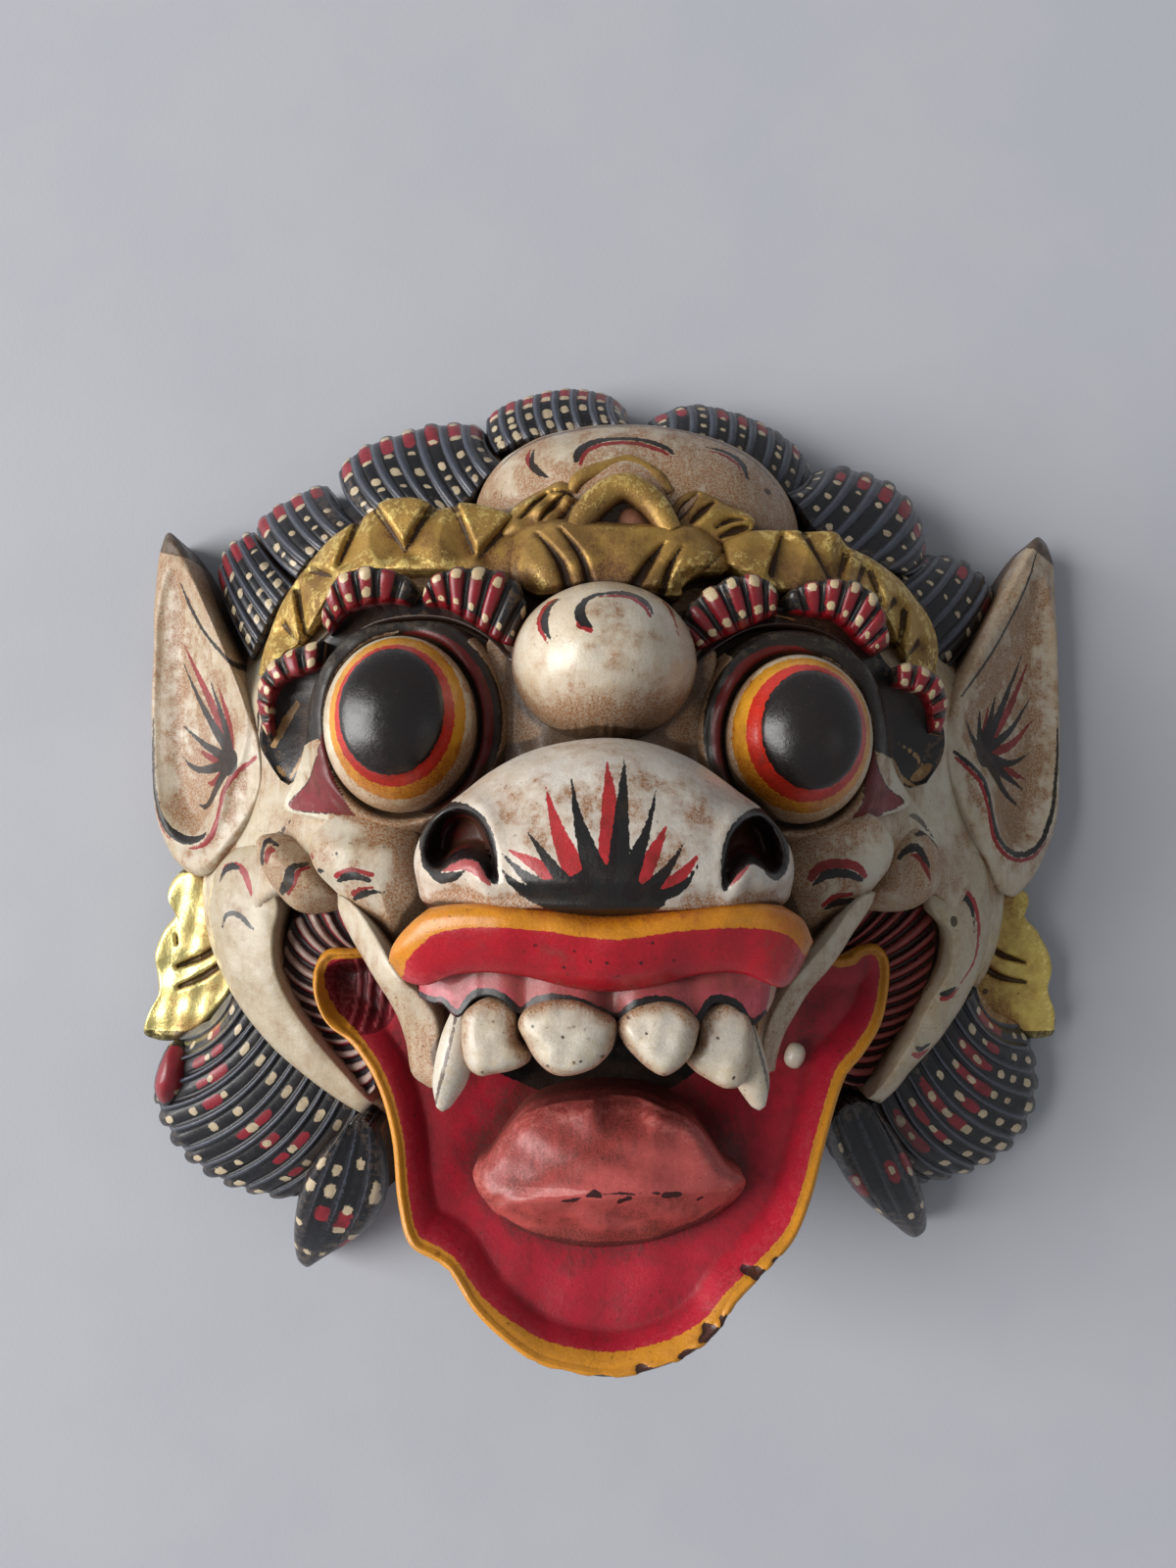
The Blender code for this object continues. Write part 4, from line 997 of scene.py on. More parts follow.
CROWN = {
    RIGHT: ([(-73.2, 33, 31), (-71.7, 38.1, 32), (-68.5, 46, 33), (-64.9, 50.7, 36), (-61, 55, 38),
        (-56.5, 59.4, 40), (-52.7, 61.6, 42), (-49.3, 63.1, 44), (-44.5, 66, 46), (-40.4, 66.6, 47),
        (-36.4, 66.1, 48), (-33.1, 64.7, 48), (-28.5, 65.1, 49), (-24.7, 64.7, 49), (-19.8, 63.1, 50),
        (-16.4, 61.3, 51)], [(-67.5, 31, 38), (-66, 36.6, 38), (-62.5, 39, 40), (-56.6, 45.4, 44),
        (-53, 50, 47), (-49.7, 51.7, 49), (-43.8, 51.7, 50), (-37.9, 51.4, 51), (-32, 51.2, 52),
        (-26.3, 51, 52), (-20.5, 50.6, 53), (-16.6, 49.2, 54)], [((-66.2, 42.9), (-62.8, 38.8)),
        ((-63.4, 49.7), (-60.6, 38.8)), ((-60, 53.8), (-54.7, 51.5)), ((-49.7, 63), (-52.9, 53.8)),
        ((-45.7, 64.7), (-39.4, 55.6)), ((-33.4, 65.9), (-39.4, 55.4)), ((-30.3, 65.9), (-25.7, 54.8)),
        ((-17.6, 61.8), (-24.3, 54.4))]),
    LEFT: ([(22.6, 57, 52), (26.9, 58.9, 51), (30.3, 59.5, 50), (34.2, 59.5, 50), (38.9, 59.7, 49),
        (43, 59.9, 48), (45.8, 59.5, 47), (48.2, 57.4, 45), (52.7, 55.8, 43), (56.5, 54, 41),
        (60.4, 51.6, 39), (64.3, 47.8, 37), (67.7, 44, 35), (69.6, 38.6, 34), (69.2, 32.5, 33)],
        [(23, 52.4, 54), (29.7, 49.3, 54), (33, 47.5, 53), (37.5, 47.4, 53), (42.8, 47.8, 52),
        (46.9, 48, 51), (51, 47, 50), (53.8, 44.6, 49), (56.3, 41.7, 47), (58.8, 38, 45), (61.5, 32.5, 43)],
        [((31.7, 50.5), (34.3, 58.3)), ((38.9, 59), (43.4, 50.2)), ((47.7, 55.4), (45.7, 50.5)),
        ((51.2, 53.1), (49.3, 49.2)), ((52.9, 51.8), (54.5, 45.3)), ((57.7, 46.6), (55.8, 44)),
        ((60.3, 44.7), (57.7, 33.6)), ((63.6, 38.8), (60.3, 34.9))])}


def crown():
    """A gilded band of folded triangles, cut by slanting creases that are steep on one side."""
    for side, (upper, lower, creases) in CROWN.items():
        rings, _, _ = lobe(upper, lower, swell=2.2, foot=24, step=0.45, ends=16)
        x, y = xy(rings)
        on_top = rings[..., 2] > 28
        cut = np.zeros_like(x)
        brown = np.full(x.shape, FAR_OUTSIDE)
        for number, (start, end) in enumerate(creases):
            start, end = np.array(start), np.array(end)
            way = (end - start) / np.linalg.norm(end - start)
            along = (x - start[0]) * way[0] + (y - start[1]) * way[1]
            off = (x - start[0]) * -way[1] + (y - start[1]) * way[0]
            long = np.linalg.norm(end - start)
            within = smooth_step(along, -2.5, 0.5) * (1 - smooth_step(along, long - 0.5, long + 2))
            turned = off * (1 if number % 2 else -1)
            slopes = np.clip(1 - turned / 5.5, 0, 1) * np.clip(1 + turned / 1.1, 0, 1)
            cut = np.maximum(cut, slopes * within)
            tapered = (1.05 - 0.75 * np.clip(along / long, 0, 1)) * 0.75 - np.abs(off)
            shown = (along > -0.8) & (along < long + 0.6)
            brown = np.maximum(brown, np.where(shown, tapered, FAR_OUTSIDE))
        rings[..., 2] -= np.where(on_top, 2.5 * cut, 0)
        carve("crown", rings, "old_gold", side, gaps=brown)


PLATE = [(-17.9, 58.5), (-16.4, 60.6), (-11.7, 61.2), (-2.9, 60.5), (9.8, 59.8), (16.8, 60.1), (19.9, 59.3),
    (22.8, 55.6), (23.4, 51.2), (17.6, 50), (14.4, 47.4), (13.8, 45.6), (7.4, 46), (0, 46.6), (-5.9, 46.6),
    (-10, 46), (-14, 46.2), (-18.2, 50)]
PLATE_GROOVES = [[(-13.2, 58, 0.15), (-9, 52, 0.8), (-7.2, 47, 1)], [(-8.6, 58.4, 0.15), (-5, 53, 0.65),
    (-3.2, 47.6, 0.9)], [(10.8, 55.6, 0.15), (8, 51.5, 0.9), (5.3, 47, 1.1)], [(14.2, 54.9, 0.15),
    (11.8, 50.5, 0.6), (10.4, 46, 0.9)], [(22.6, 55, 0.15), (19.2, 51, 0.3)]]
LEAVES = {
    RIGHT: ([(-19, 58), (-19.6, 61.5), (-17, 65.5), (-12.6, 68.2), (-8, 70.8), (-3.6, 70.6), (-3, 65),
        (-6, 59)], [[(-16.6, 61.8, 0.2), (-14, 64.6, 0.5), (-11.6, 67, 0.2)], [(-12.6, 61.3, 0.2),
        (-10.6, 64, 0.6), (-8.2, 66.6, 0.2)], [(-10.4, 67.4, 0.1), (-7.5, 67, 0.4), (-4.4, 65.6, 0.2)],
        [(-9.6, 60.6, 0.1), (-7.6, 63, 0.35), (-6.2, 65.2, 0.1)]]),
    LEFT: ([(10, 58.5), (11.5, 63.5), (13, 68), (18.2, 69), (23, 65.6), (28.6, 62.4), (28.4, 59.6),
        (23.6, 56.6), (16, 58)], [[(13.7, 61.4, 0.5), (15.6, 64, 0.9), (18, 66.6, 0.3)], [(16.6, 60.8, 0.4),
        (18.8, 63, 0.7), (21.2, 65.2, 0.2)], [(21.4, 59.8, 0.2), (24, 61.2, 0.5), (27, 61.6, 0.2)],
        [(22.2, 57.9, 0.3), (25, 59.2, 0.8), (27.6, 60, 0.4)]])}
CREST_BACK = [(-15, 56), (-12, 66), (-6.5, 70.4), (-3, 73), (4, 74.6), (9.5, 72.8), (13, 69), (19, 66.5),
    (22, 58), (4, 54)]
CREST_HOLE = [(-3.6, 58.6), (-2.2, 62), (0.6, 64.8), (2.6, 64.6), (3.2, 61), (2.6, 58.6)]
JEWEL = [(2.6, 58.6), (2.4, 61.4), (3.6, 63.8), (5.8, 63.9), (8.2, 61.8), (9.6, 59.4), (6, 58)]
ARCH = [(-5.6, 58.4, 56.5, 2.3), (-4.4, 61, 56, 2.6), (-2.3, 64, 55.5, 2.7), (1.1, 66.8, 55, 2.6),
    (4.4, 67.4, 55, 2.6), (8, 65.2, 55, 2.6), (10.2, 62.6, 55.5, 2.5), (11.6, 60, 56, 2.4),
    (12.4, 58.4, 56.5, 2.2)]
ARCH_BEHIND = [(-6.6, 67.4, 50, 1.2), (-5.4, 69.6, 50, 1.7), (-3, 71, 49.6, 1.8), (0, 72.2, 49, 1.8),
    (4.2, 73.4, 48.4, 1.9), (7.6, 72.2, 48.6, 1.8), (10.4, 70, 49.4, 1.8), (12.6, 67, 50.2, 1.3)]


def grooved(top, grooves, depth):
    """The height top cut by strokes, as deep as given where they are fully inside."""
    def cut(x, y, r):
        inside = strokes(pairs(x, y), *grooves)
        return top(x, y, r) - depth * smooth_step(inside, -0.55, 0.75)
    return cut


def ornament():
    """The gilded crest: a winged plate, an arch with a jewel, a second arch behind and leaf ends.  Each
    slopes down toward the top of the head and falls off by a power of the way to its edge."""
    def plate_top(x, y, r):
        wing = 1.8 * np.exp(-(((y - 52) / 5) ** 2)) * smooth_step(np.abs(x - 2), 2, 14)
        edge = 2.2 * smooth_step(r, 0.72, 1.0) ** 2
        return 61.0 - 0.34 * (y - 47) + wing - edge - 0.010 * (x - 2) ** 2 + uneven(x, y, 9, 0.35, 121)
    rings = relief(PLATE, grooved(plate_top, PLATE_GROOVES, 1.9), foot=42, step=0.42, middle=(2, 53.5),
                   foot_scale=0.98)
    at = flat(rings)
    carve("crest_plate", rings, "old_gold", gaps=strokes(at, *PLATE_GROOVES) - 0.05)

    def back_top(x, y, r):
        return 54.5 - 0.45 * (y - 50) - 2 * r**4
    rings = relief(CREST_BACK, back_top, foot=34, step=0.7, middle=(3, 62))
    carve("crest_back", rings, "old_gold", gaps=area(flat(rings), CREST_HOLE))
    for side, (outline, grooves) in LEAVES.items():
        middle = np.mean(outline, axis=0)

        def leaf_top(x, y, r, middle=middle, side=side):
            fold = 0.9 * np.cos((x * side - y) * 0.75)
            return 54.6 - 0.40 * (y - 56) - 2.4 * r**3 + fold * (1 - r)
        rings = relief(outline, grooved(leaf_top, grooves, 1.9), foot=36, step=0.42, middle=middle)
        carve("crest_leaf", rings, "old_gold", side, gaps=strokes(flat(rings), *grooves))
    carve("crest_arch", bar(ARCH, 2.0, 42), "old_gold")
    carve("crest_arch_back", bar(ARCH_BEHIND, 1.6, 34), "old_gold")

    def gem_top(x, y, r):
        return 53.2 - 1.8 * r**2 - 0.2 * (y - 60)
    carve("crest_jewel", relief(JEWEL, gem_top, foot=44, step=0.3), "jewel")


DOME_EDGE = [(-27.6, 69), (-26.4, 73.8), (-24, 77.6), (-20.3, 81), (-13.6, 84.5), (-3.5, 86.8), (7, 86.9),
    (17.5, 85.6), (26.9, 82.9), (34.3, 78.4), (39.7, 71.8), (41.8, 64.2), (40, 56), (30, 50), (6, 48),
    (-16, 52), (-26, 60)]
DOME_BLACK = [[(-14.6, 78.4, 0.2), (-14.9, 75, 0.6), (-13.5, 72.6, 0.7), (-11.3, 70.9, 0.1)],
    [(-5.8, 74.2, 0.6), (-5.2, 76.6, 0.9), (-2.6, 78.6, 0.8), (1.6, 79.4, 0.5), (6.6, 79.2, 0.5),
    (11.6, 77.4, 0.6), (13.6, 75.6, 0.3)], [(19.4, 78.4, 0.1), (24.5, 77.4, 0.5), (27.6, 75.2, 0.7),
    (28.6, 71.6, 0.4)]]
DOME_RED = [[(-15.2, 79.2, 0.15), (-15.8, 76.2, 0.5), (-14.7, 73.2, 0.3)], [(-5, 73.2, 0.4),
    (-4.2, 75.8, 0.6), (-2, 77.4, 0.5), (1.8, 78.2, 0.5), (6.6, 78, 0.5), (11.2, 76.2, 0.5),
    (13, 74.8, 0.2)], [(19.6, 77.4, 0.1), (24, 76.4, 0.4), (26.6, 74.4, 0.4), (27.4, 72, 0.2)]]
DOME_LINE = [(-23, 74, 0.1), (-19.5, 78.5, 0.4), (-13.4, 81.7, 0.5), (-3, 84, 0.55), (7, 84.2, 0.55),
    (17, 82.8, 0.55), (25.6, 80, 0.5), (32.6, 75.4, 0.45), (37.4, 69, 0.2)]


def dome():
    """The cap over the crown: a flattened half egg, whose foot stands higher where the crown hides it."""
    def top(x, y, r):
        round_top = DOME_Z[0] + DOME_Z[1] * np.sqrt(np.clip(1.03 - r**2.3, 0, 1))
        return round_top + uneven(x, y, 15, 0.3, 131)

    def foot(x, y):
        return 0.4 + 30 * (1 - smooth_step(y, 55, 60))
    rings = relief(DOME_EDGE, top, foot=foot, step=0.55, middle=(6.5, 63))
    at = flat(rings)
    # Uneven stain, and a painted shade that darkens the dome toward the mask's left, away from the window.
    warm = 0.6 + uneven(*xy(at), 12, 1.2, 133) + 1.8 * smooth_step(at[..., 0], 2, 34)
    carve("dome", rings, "cream", black=strokes(at, *DOME_BLACK), red=strokes(at, *DOME_RED),
          dull=stroke(at, DOME_LINE, 60), gaps=dots(at, 0.8, [(33.2, 69.6)]), stain=warm)


# ------------------------ cheeks and the fans beside the mouth

CHEEKS = {
    RIGHT: [("cheek_front", [(-55.4, -2), (-53, 2.2), (-48, 4.6), (-40, 4), (-34, 0), (-31, -6), (-31, -14),
        (-34.5, -21), (-37.7, -22.5), (-41, -18.4), (-45.4, -14.6), (-49.4, -11), (-53.6, -6.6)], (-42, -6),
        67, 5.5), ("cheek_back", [(-69.6, -3.8), (-68.4, -0.2), (-62.6, -0.6), (-56.1, -4.6), (-51, -9.6),
        (-50.2, -13.4), (-54.4, -15.4), (-60.4, -15.6), (-65.6, -11.6)], (-60, -8), 52, 6.5)],
    LEFT: [("cheek_front", [(53.6, -1.4), (51.6, 2.8), (46.9, 5), (38, 4.4), (33, 0), (30, -6), (30, -14),
        (33.5, -20.8), (36.5, -21.6), (39.7, -18.4), (45.1, -14), (49, -10.4), (52.6, -5.6)], (41, -6), 66,
        5.5), ("cheek_back", [(54, -1.2), (60.8, 1.6), (66.4, -2.4), (67, -9.4), (62.8, -14.4), (56, -15.6),
        (50.6, -14), (50.6, -8.4)], (59, -7.4), 51, 6.5)]}
CHEEK_BLACK = {
    RIGHT: [[(-68, -5.6, 0.65), (-67.6, -3, 0.5), (-66.9, -1.1, 0.45), (-64.1, -2.3, 0.25)],
        [(-63.9, -11.3, 0.7), (-61.9, -9.1, 1.1), (-61, -6.4, 0.8), (-58.2, -5.6, 0.3)],
        [(-49.3, -7.9, 0.3), (-47.6, -6.9, 0.75), (-45.4, -6.8, 0.7), (-42.9, -7.5, 0.3)],
        [(-46.2, -11, 0.4), (-44.4, -10, 0.7), (-42.4, -9.6, 0.4), (-40.1, -9.6, 0.1)], [(-53.2, -6, 0.5),
        (-52, -6, 0.2)], [(-50.1, -3, 0.15), (-49.2, -2.6, 0.25), (-49.2, -3.6, 0.1)]],
    LEFT: [[(37.6, -8.4, 0.2), (40, -6.5, 0.85), (43.4, -6.3, 0.85), (46.8, -7.5, 0.45)],
        [(39.8, -12.9, 0.25), (42, -11.8, 0.75), (45, -11.5, 0.6)], [(61.5, -0.1, 0.35), (64.3, 0.4, 0.6),
        (65.7, -1, 0.6), (66.6, -3, 0.15)], [(57.3, -4.4, 0.4), (59.3, -2.7, 0.75), (61.1, -2.6, 0.8),
        (62.9, -5.2, 0.5), (63.6, -7, 0.1)]]}
CHEEK_RED = {
    RIGHT: [[(-66.6, -5, 0.6), (-66.1, -3.2, 0.8), (-64.9, -2.9, 0.3)], [(-62.2, -11.5, 0.4),
        (-60.6, -9.1, 0.55), (-59.6, -6.9, 0.5), (-57.9, -6.2, 0.3)], [(-49.6, -6.8, 0.55),
        (-47.4, -5.8, 0.55), (-45.2, -5.8, 0.45), (-42.6, -6.5, 0.4)], [(-46.4, -10.1, 0.6),
        (-44.6, -9.1, 0.4), (-42.6, -8.8, 0.2)], [(-54.8, -3.9, 0.35), (-54.5, -2.6, 0.25)]],
    LEFT: [[(37.1, -7.2, 0.65), (38.8, -5.2, 0.95), (41.5, -4.5, 0.9), (45.1, -4.9, 0.8),
        (47.4, -6.9, 0.5)], [(39.4, -12.2, 0.45), (41.6, -10.6, 0.6), (44.9, -10.2, 0.4)],
        [(59.6, -3.9, 0.3), (61.4, -4.4, 0.6), (62.6, -6.6, 0.6), (63.6, -8.9, 0.2)]]}
CRESCENTS = {
    RIGHT: ([(-72.4, -0.5, 30), (-75.6, -2, 29), (-80, -4.6, 27), (-83.6, -9, 26), (-85.2, -17.5, 26),
        (-83, -27, 27), (-80.3, -33, 28), (-74.5, -40.8, 30), (-66, -48.7, 32), (-57.2, -54.6, 34),
        (-50.4, -58.6, 35)], [(-69.4, -2.4, 36), (-69.4, -6, 36), (-68.3, -10.5, 36), (-67.2, -15.6, 35),
        (-68.1, -20.8, 35), (-67.9, -27.9, 35), (-64.8, -35.1, 35), (-58.7, -43.3, 36), (-51.7, -50.7, 37),
        (-47.6, -55.4, 38)]),
    LEFT: ([(68, -0.5, 30), (72, -2.2, 29), (76.6, -2.8, 28), (81, -6.4, 27), (83, -15.2, 26),
        (82, -24.6, 27), (78, -34.3, 28), (71.4, -43, 30), (63.9, -50.6, 32), (57.6, -56.8, 34)],
        [(65.4, -2.6, 36), (65.6, -6.4, 36), (65.6, -11, 36), (67.2, -16.2, 35), (71.1, -20.8, 35),
        (70.9, -27.9, 35), (66.8, -35.1, 35), (62.8, -42.3, 36), (57.8, -49.7, 37), (53.8, -54.6, 38)])}
CRESCENT_BLACK = {
    RIGHT: [[(-81.6, -10.9, 0.2), (-80.5, -8.4, 0.6), (-78.5, -7.3, 0.75), (-76.5, -7.6, 0.4)],
        [(-80.6, -20.8, 0.15), (-79.6, -17.8, 0.45), (-77.8, -17, 0.5), (-75.6, -17.8, 0.55),
        (-72.9, -20, 0.4)]],
    LEFT: [[(68.6, -8.6, 0.4), (70, -6.4, 0.8), (72.4, -4.8, 0.7), (75.2, -4.9, 0.2)], [(71, -14.8, 0.25),
        (73, -13.8, 0.8), (75, -13.7, 0.75), (76.4, -15.4, 0.6), (77, -18.4, 0.35), (77.2, -22.2, 0.1)],
        [(69.2, -33.2, 0.4), (70.8, -33.1, 0.75), (72.6, -32.2, 0.3)], [(63.8, -44.1, 0.3),
        (65.2, -44.7, 0.6), (67.4, -43.8, 0.2)]]}
CRESCENT_RED = {
    RIGHT: [[(-81.9, -10.3, 0.2), (-80.8, -7.9, 0.4), (-78.6, -6.7, 0.3)], [(-77.4, -6.8, 0.5),
        (-75.2, -8.2, 0.8), (-74, -10.6, 0.7), (-73.2, -13.2, 0.3)]],
    LEFT: [[(68.8, -7.4, 0.2), (70.2, -5.2, 0.5), (73, -3.7, 0.55), (76.4, -4.6, 0.2)], [(71.6, -13.9, 0.2),
        (73.2, -12.8, 0.55), (75.4, -12.6, 0.6), (77.2, -14.6, 0.6), (78.1, -18.2, 0.5), (78.2, -22.4, 0.4),
        (77, -27, 0.3), (75, -30.2, 0.25), (73.2, -32.4, 0.1)], [(69.4, -34.3, 0.5), (71.2, -34, 0.6),
        (73.2, -32.6, 0.2)], [(63.1, -45.3, 0.4), (64.9, -46.1, 0.7), (67.2, -45, 0.25)]]}
FANS = {
    RIGHT: ([(-47.5, -12.5, 40), (-52, -14.5, 38), (-56.9, -15.8, 36), (-61, -16.3, 34), (-64.7, -17.4, 32),
        (-67, -20.8, 31), (-68.2, -25.5, 30), (-68.2, -30, 30), (-67, -34.2, 30), (-64.4, -38.4, 30),
        (-61.7, -42.6, 30), (-59, -46.8, 31), (-56, -51.6, 32), (-53, -55, 33)], [(-42, -25.4, 34.5),
        (-46, -25.2, 34.5), (-49.8, -25.2, 34.5), (-53.2, -25.4, 34.2), (-56, -26.2, 34), (-58, -27.6, 34),
        (-58.8, -30, 34), (-58.4, -32.4, 34), (-57.6, -35, 34), (-56, -37.6, 34.5), (-54, -40.4, 35),
        (-51.4, -43.4, 36), (-48.4, -47, 38), (-46.6, -51.5, 40)], 16, 1.2),
    LEFT: ([(50, -11, 40), (56, -13, 37), (63.4, -14, 34), (67.4, -15.4, 32), (69.8, -18.2, 31),
        (70.6, -22, 30), (70.2, -25.8, 30), (69.4, -29, 30), (68, -33.2, 30), (66.2, -37, 30),
        (63.8, -40.6, 30), (61.6, -43.6, 30), (59.2, -46.4, 31), (57, -49.6, 32), (54.6, -53, 33)],
        [(42, -23.5, 34.5), (47, -23.5, 34.5), (52, -23.8, 34.5), (55, -24.6, 34.2), (56.9, -25.8, 34),
        (57.6, -27.6, 34), (57.9, -29.6, 34), (57.6, -31.8, 34), (56.9, -34.4, 34), (56, -36.8, 34),
        (54.8, -39.2, 34.5), (53.4, -41.6, 35), (51.6, -44, 36), (49.4, -46.6, 37), (46.8, -49.6, 39)], 17,
        -0.8)}


def cheeks():
    """Rounded pads whose height falls with a power of the way to their edge, the crescents outside them,
    and the fans: round ridges side by side with a strip of paint along each."""
    for side, pads in CHEEKS.items():
        for name, outline, middle, height, roll in pads:
            def top(x, y, r, height=height, roll=roll):
                return height - roll * r**2.4 + uneven(x, y, 8, 0.3, 141)
            rings = relief(outline, top, foot=in_wood, step=0.45, middle=middle)
            at = flat(rings)
            warm = uneven(*xy(at), 9, 1.2, 143) + (1.2 if name == "cheek_back" else -0.6)
            carve(name, rings, "cream", side, black=strokes(at, *CHEEK_BLACK[side]),
                  red=strokes(at, *CHEEK_RED[side]), stain=warm)
        outer, inner = CRESCENTS[side]
        rings, u, v = lobe(outer, inner, swell=4.2, foot=10, step=0.5, ends=8)
        rings[..., 2] += uneven(*xy(rings), 9, 0.3, 151) * (rings[..., 2] > 20)
        at = flat(rings)
        spot = 0.9 - np.hypot(at[..., 0] - 71.9, (at[..., 1] + 18.3) / 1.3)
        carve("crescent", rings, "tan", side, black=strokes(at, *CRESCENT_BLACK[side]),
              red=strokes(at, *CRESCENT_RED[side]), gaps=spot)
        outer, inner, ridges, bend = FANS[side]
        along, across = mean_length(outer, inner)
        rings, u, v = lobe(outer, inner, swell=0.8, foot=26, step=0.33, ends=20, cords=ridges, cord=1.3,
                           strand=-0.3, duty=0.66, bend=bend)
        draw = np.random.default_rng(160 + side)
        phase = u * ridges
        number = np.clip(np.round(phase), 0, ridges).astype(int)
        off = (phase - number) * along / ridges
        shade = draw.uniform(0, 1, ridges + 1)[number]
        wide = draw.uniform(0.55, 0.8, ridges + 1)[number] * (1 if side == RIGHT else 0.9)
        ends = np.minimum(v - 0.02, 0.94 - v) * across
        pale = np.minimum(wide + 0.1 - np.abs(off + 0.15), ends)
        red = np.minimum(wide - np.abs(off - 0.55), ends + 0.3)
        # The mask's left fan takes a darker copy of the fan paint: painted shade on the side away from the
        # window.
        carve("fan", rings, "fan_" + SIDE_NAME[side], side, pale=pale - 0.35 * (shade < 0.3),
              red=red)


# ------------------------ ears, earrings and hair

EARS = {
    RIGHT: [(-98.9, 67.4), (-101.8, 64.5), (-103.2, 55), (-103.3, 46), (-103.6, 32), (-103.4, 19),
        (-102.3, 3.3), (-99.6, -3.4), (-95.5, -7.9), (-90.5, -10.3), (-86.4, -9.6), (-81, -5), (-75, 2),
        (-71.5, 10), (-72.5, 20), (-75.4, 27), (-80, 36.5), (-84.6, 45), (-92.6, 60)],
    LEFT: [(100, 66.6), (96.3, 63.8), (91.6, 57), (86.6, 49.3), (77.6, 35.4), (71.4, 24), (71, 15),
        (74.6, 6), (79.6, -3.6), (84.6, -11.6), (88.4, -14.4), (92.4, -14.2), (99.4, -8.2), (104, 2.6),
        (105.2, 23.5), (105, 40), (104.6, 53), (103.8, 63)]}
BOWLS = {
    RIGHT: [(-97.6, 58), (-101, 48), (-101.6, 34), (-101.4, 18), (-99.6, 5.5), (-95, -1.2), (-88.6, -2),
        (-84, 3), (-82, 10), (-78, 17), (-77.4, 26), (-81.6, 37), (-88, 48), (-93.6, 56)],
    LEFT: [(98, 57), (92, 49), (84.6, 40), (77.4, 30), (75.4, 22), (78.6, 15), (83, 9.6), (84.6, 2),
        (87.4, -3.2), (92, -5), (97.4, -2.6), (101.2, 4), (102.6, 17), (102.8, 34), (101.8, 48)]}
EAR_HUBS = {RIGHT: (-80.2, 14.6), LEFT: (82.4, 16.5)}
EAR_BLACK = {
    RIGHT: [((-95.4, 37.5), (-88.6, 26)), ((-87.1, 33.1), (-83.6, 24)), ((-95.4, 23.3), (-88.6, 18.6)),
        ((-96.1, 16.8), (-90.6, 13.2)), ((-91.7, 6), (-87.6, 5.4))],
    LEFT: [((94.8, 39.3), (89.6, 29)), ((97.4, 29.6), (91, 22)), ((97.4, 17.2), (91, 14.6)), ((96.3, 8),
        (90.6, 11.4)), ((95, 3.9), (89.4, 8.4)), ((82.1, 26.4), (82, 21)), ((86.7, 30.1), (85, 24)),
        ((77.4, 24), (79.4, 20))]}
EAR_RED = {
    RIGHT: [((-95.4, 41.9), (-87.2, 28.4)), ((-84.7, 31.4), (-81.8, 23)), ((-91.1, 17.9), (-86, 15.4)),
        ((-88.7, 10.2), (-85, 10.6))],
    LEFT: [((96.5, 37.5), (90.8, 27)), ((98, 24.6), (91, 18.6)), ((96.3, 10.9), (90.4, 13)), ((84.5, 27),
        (83.4, 21))]}
EAR_LINES = {
    RIGHT: ([[(-95.4, 55.8, 0.1), (-92.4, 49.6, 0.5), (-88.4, 43.6, 0.4), (-82.4, 38, 0.45),
        (-77, 33.4, 0.25)], [(-102.4, 26, 0.1), (-102.2, 16, 0.4), (-101.5, 8, 0.55), (-99.4, 2, 0.8),
        (-95.8, -1.2, 0.95), (-91.4, -2.4, 0.95), (-87.4, -1.6, 0.6), (-85.4, 0, 0.1)]],
        [[(-73.4, 15.6, 0.45), (-78.4, 12.2, 0.6), (-81.4, 8.4, 0.6), (-82.6, 3.6, 0.55),
        (-84.2, -0.6, 0.7), (-87, -3.2, 0.6), (-91.4, -4.2, 0.2)], [(-101.4, 4.8, 0.2), (-99.2, -0.2, 0.3),
        (-96, -2.8, 0.2)]]),
    LEFT: ([[(99.2, 64.6, 0.1), (92.6, 51, 0.35), (86.2, 40.8, 0.35), (79.6, 33, 0.4), (75.2, 28.4, 0.2)],
        [(73.6, 16.9, 0.3), (77.3, 14.2, 0.5), (81.2, 11, 0.6), (83, 5, 0.5), (84.4, -0.7, 0.6),
        (87.8, -4.4, 0.7), (91.5, -5.7, 0.7), (95.8, -4.7, 0.6), (98.8, -2.1, 0.6), (101.5, 3.6, 0.5),
        (102.6, 9.3, 0.45), (103.5, 16.7, 0.4), (103.6, 26, 0.1)]], [[(74, 15.6, 0.3), (77.4, 12.9, 0.45),
        (80.4, 10.2, 0.5), (82.2, 5, 0.4), (83.6, -1.4, 0.5), (87, -5.4, 0.5), (91.5, -6.8, 0.5),
        (96.4, -5.7, 0.5), (99.8, -2.5, 0.2)]])}


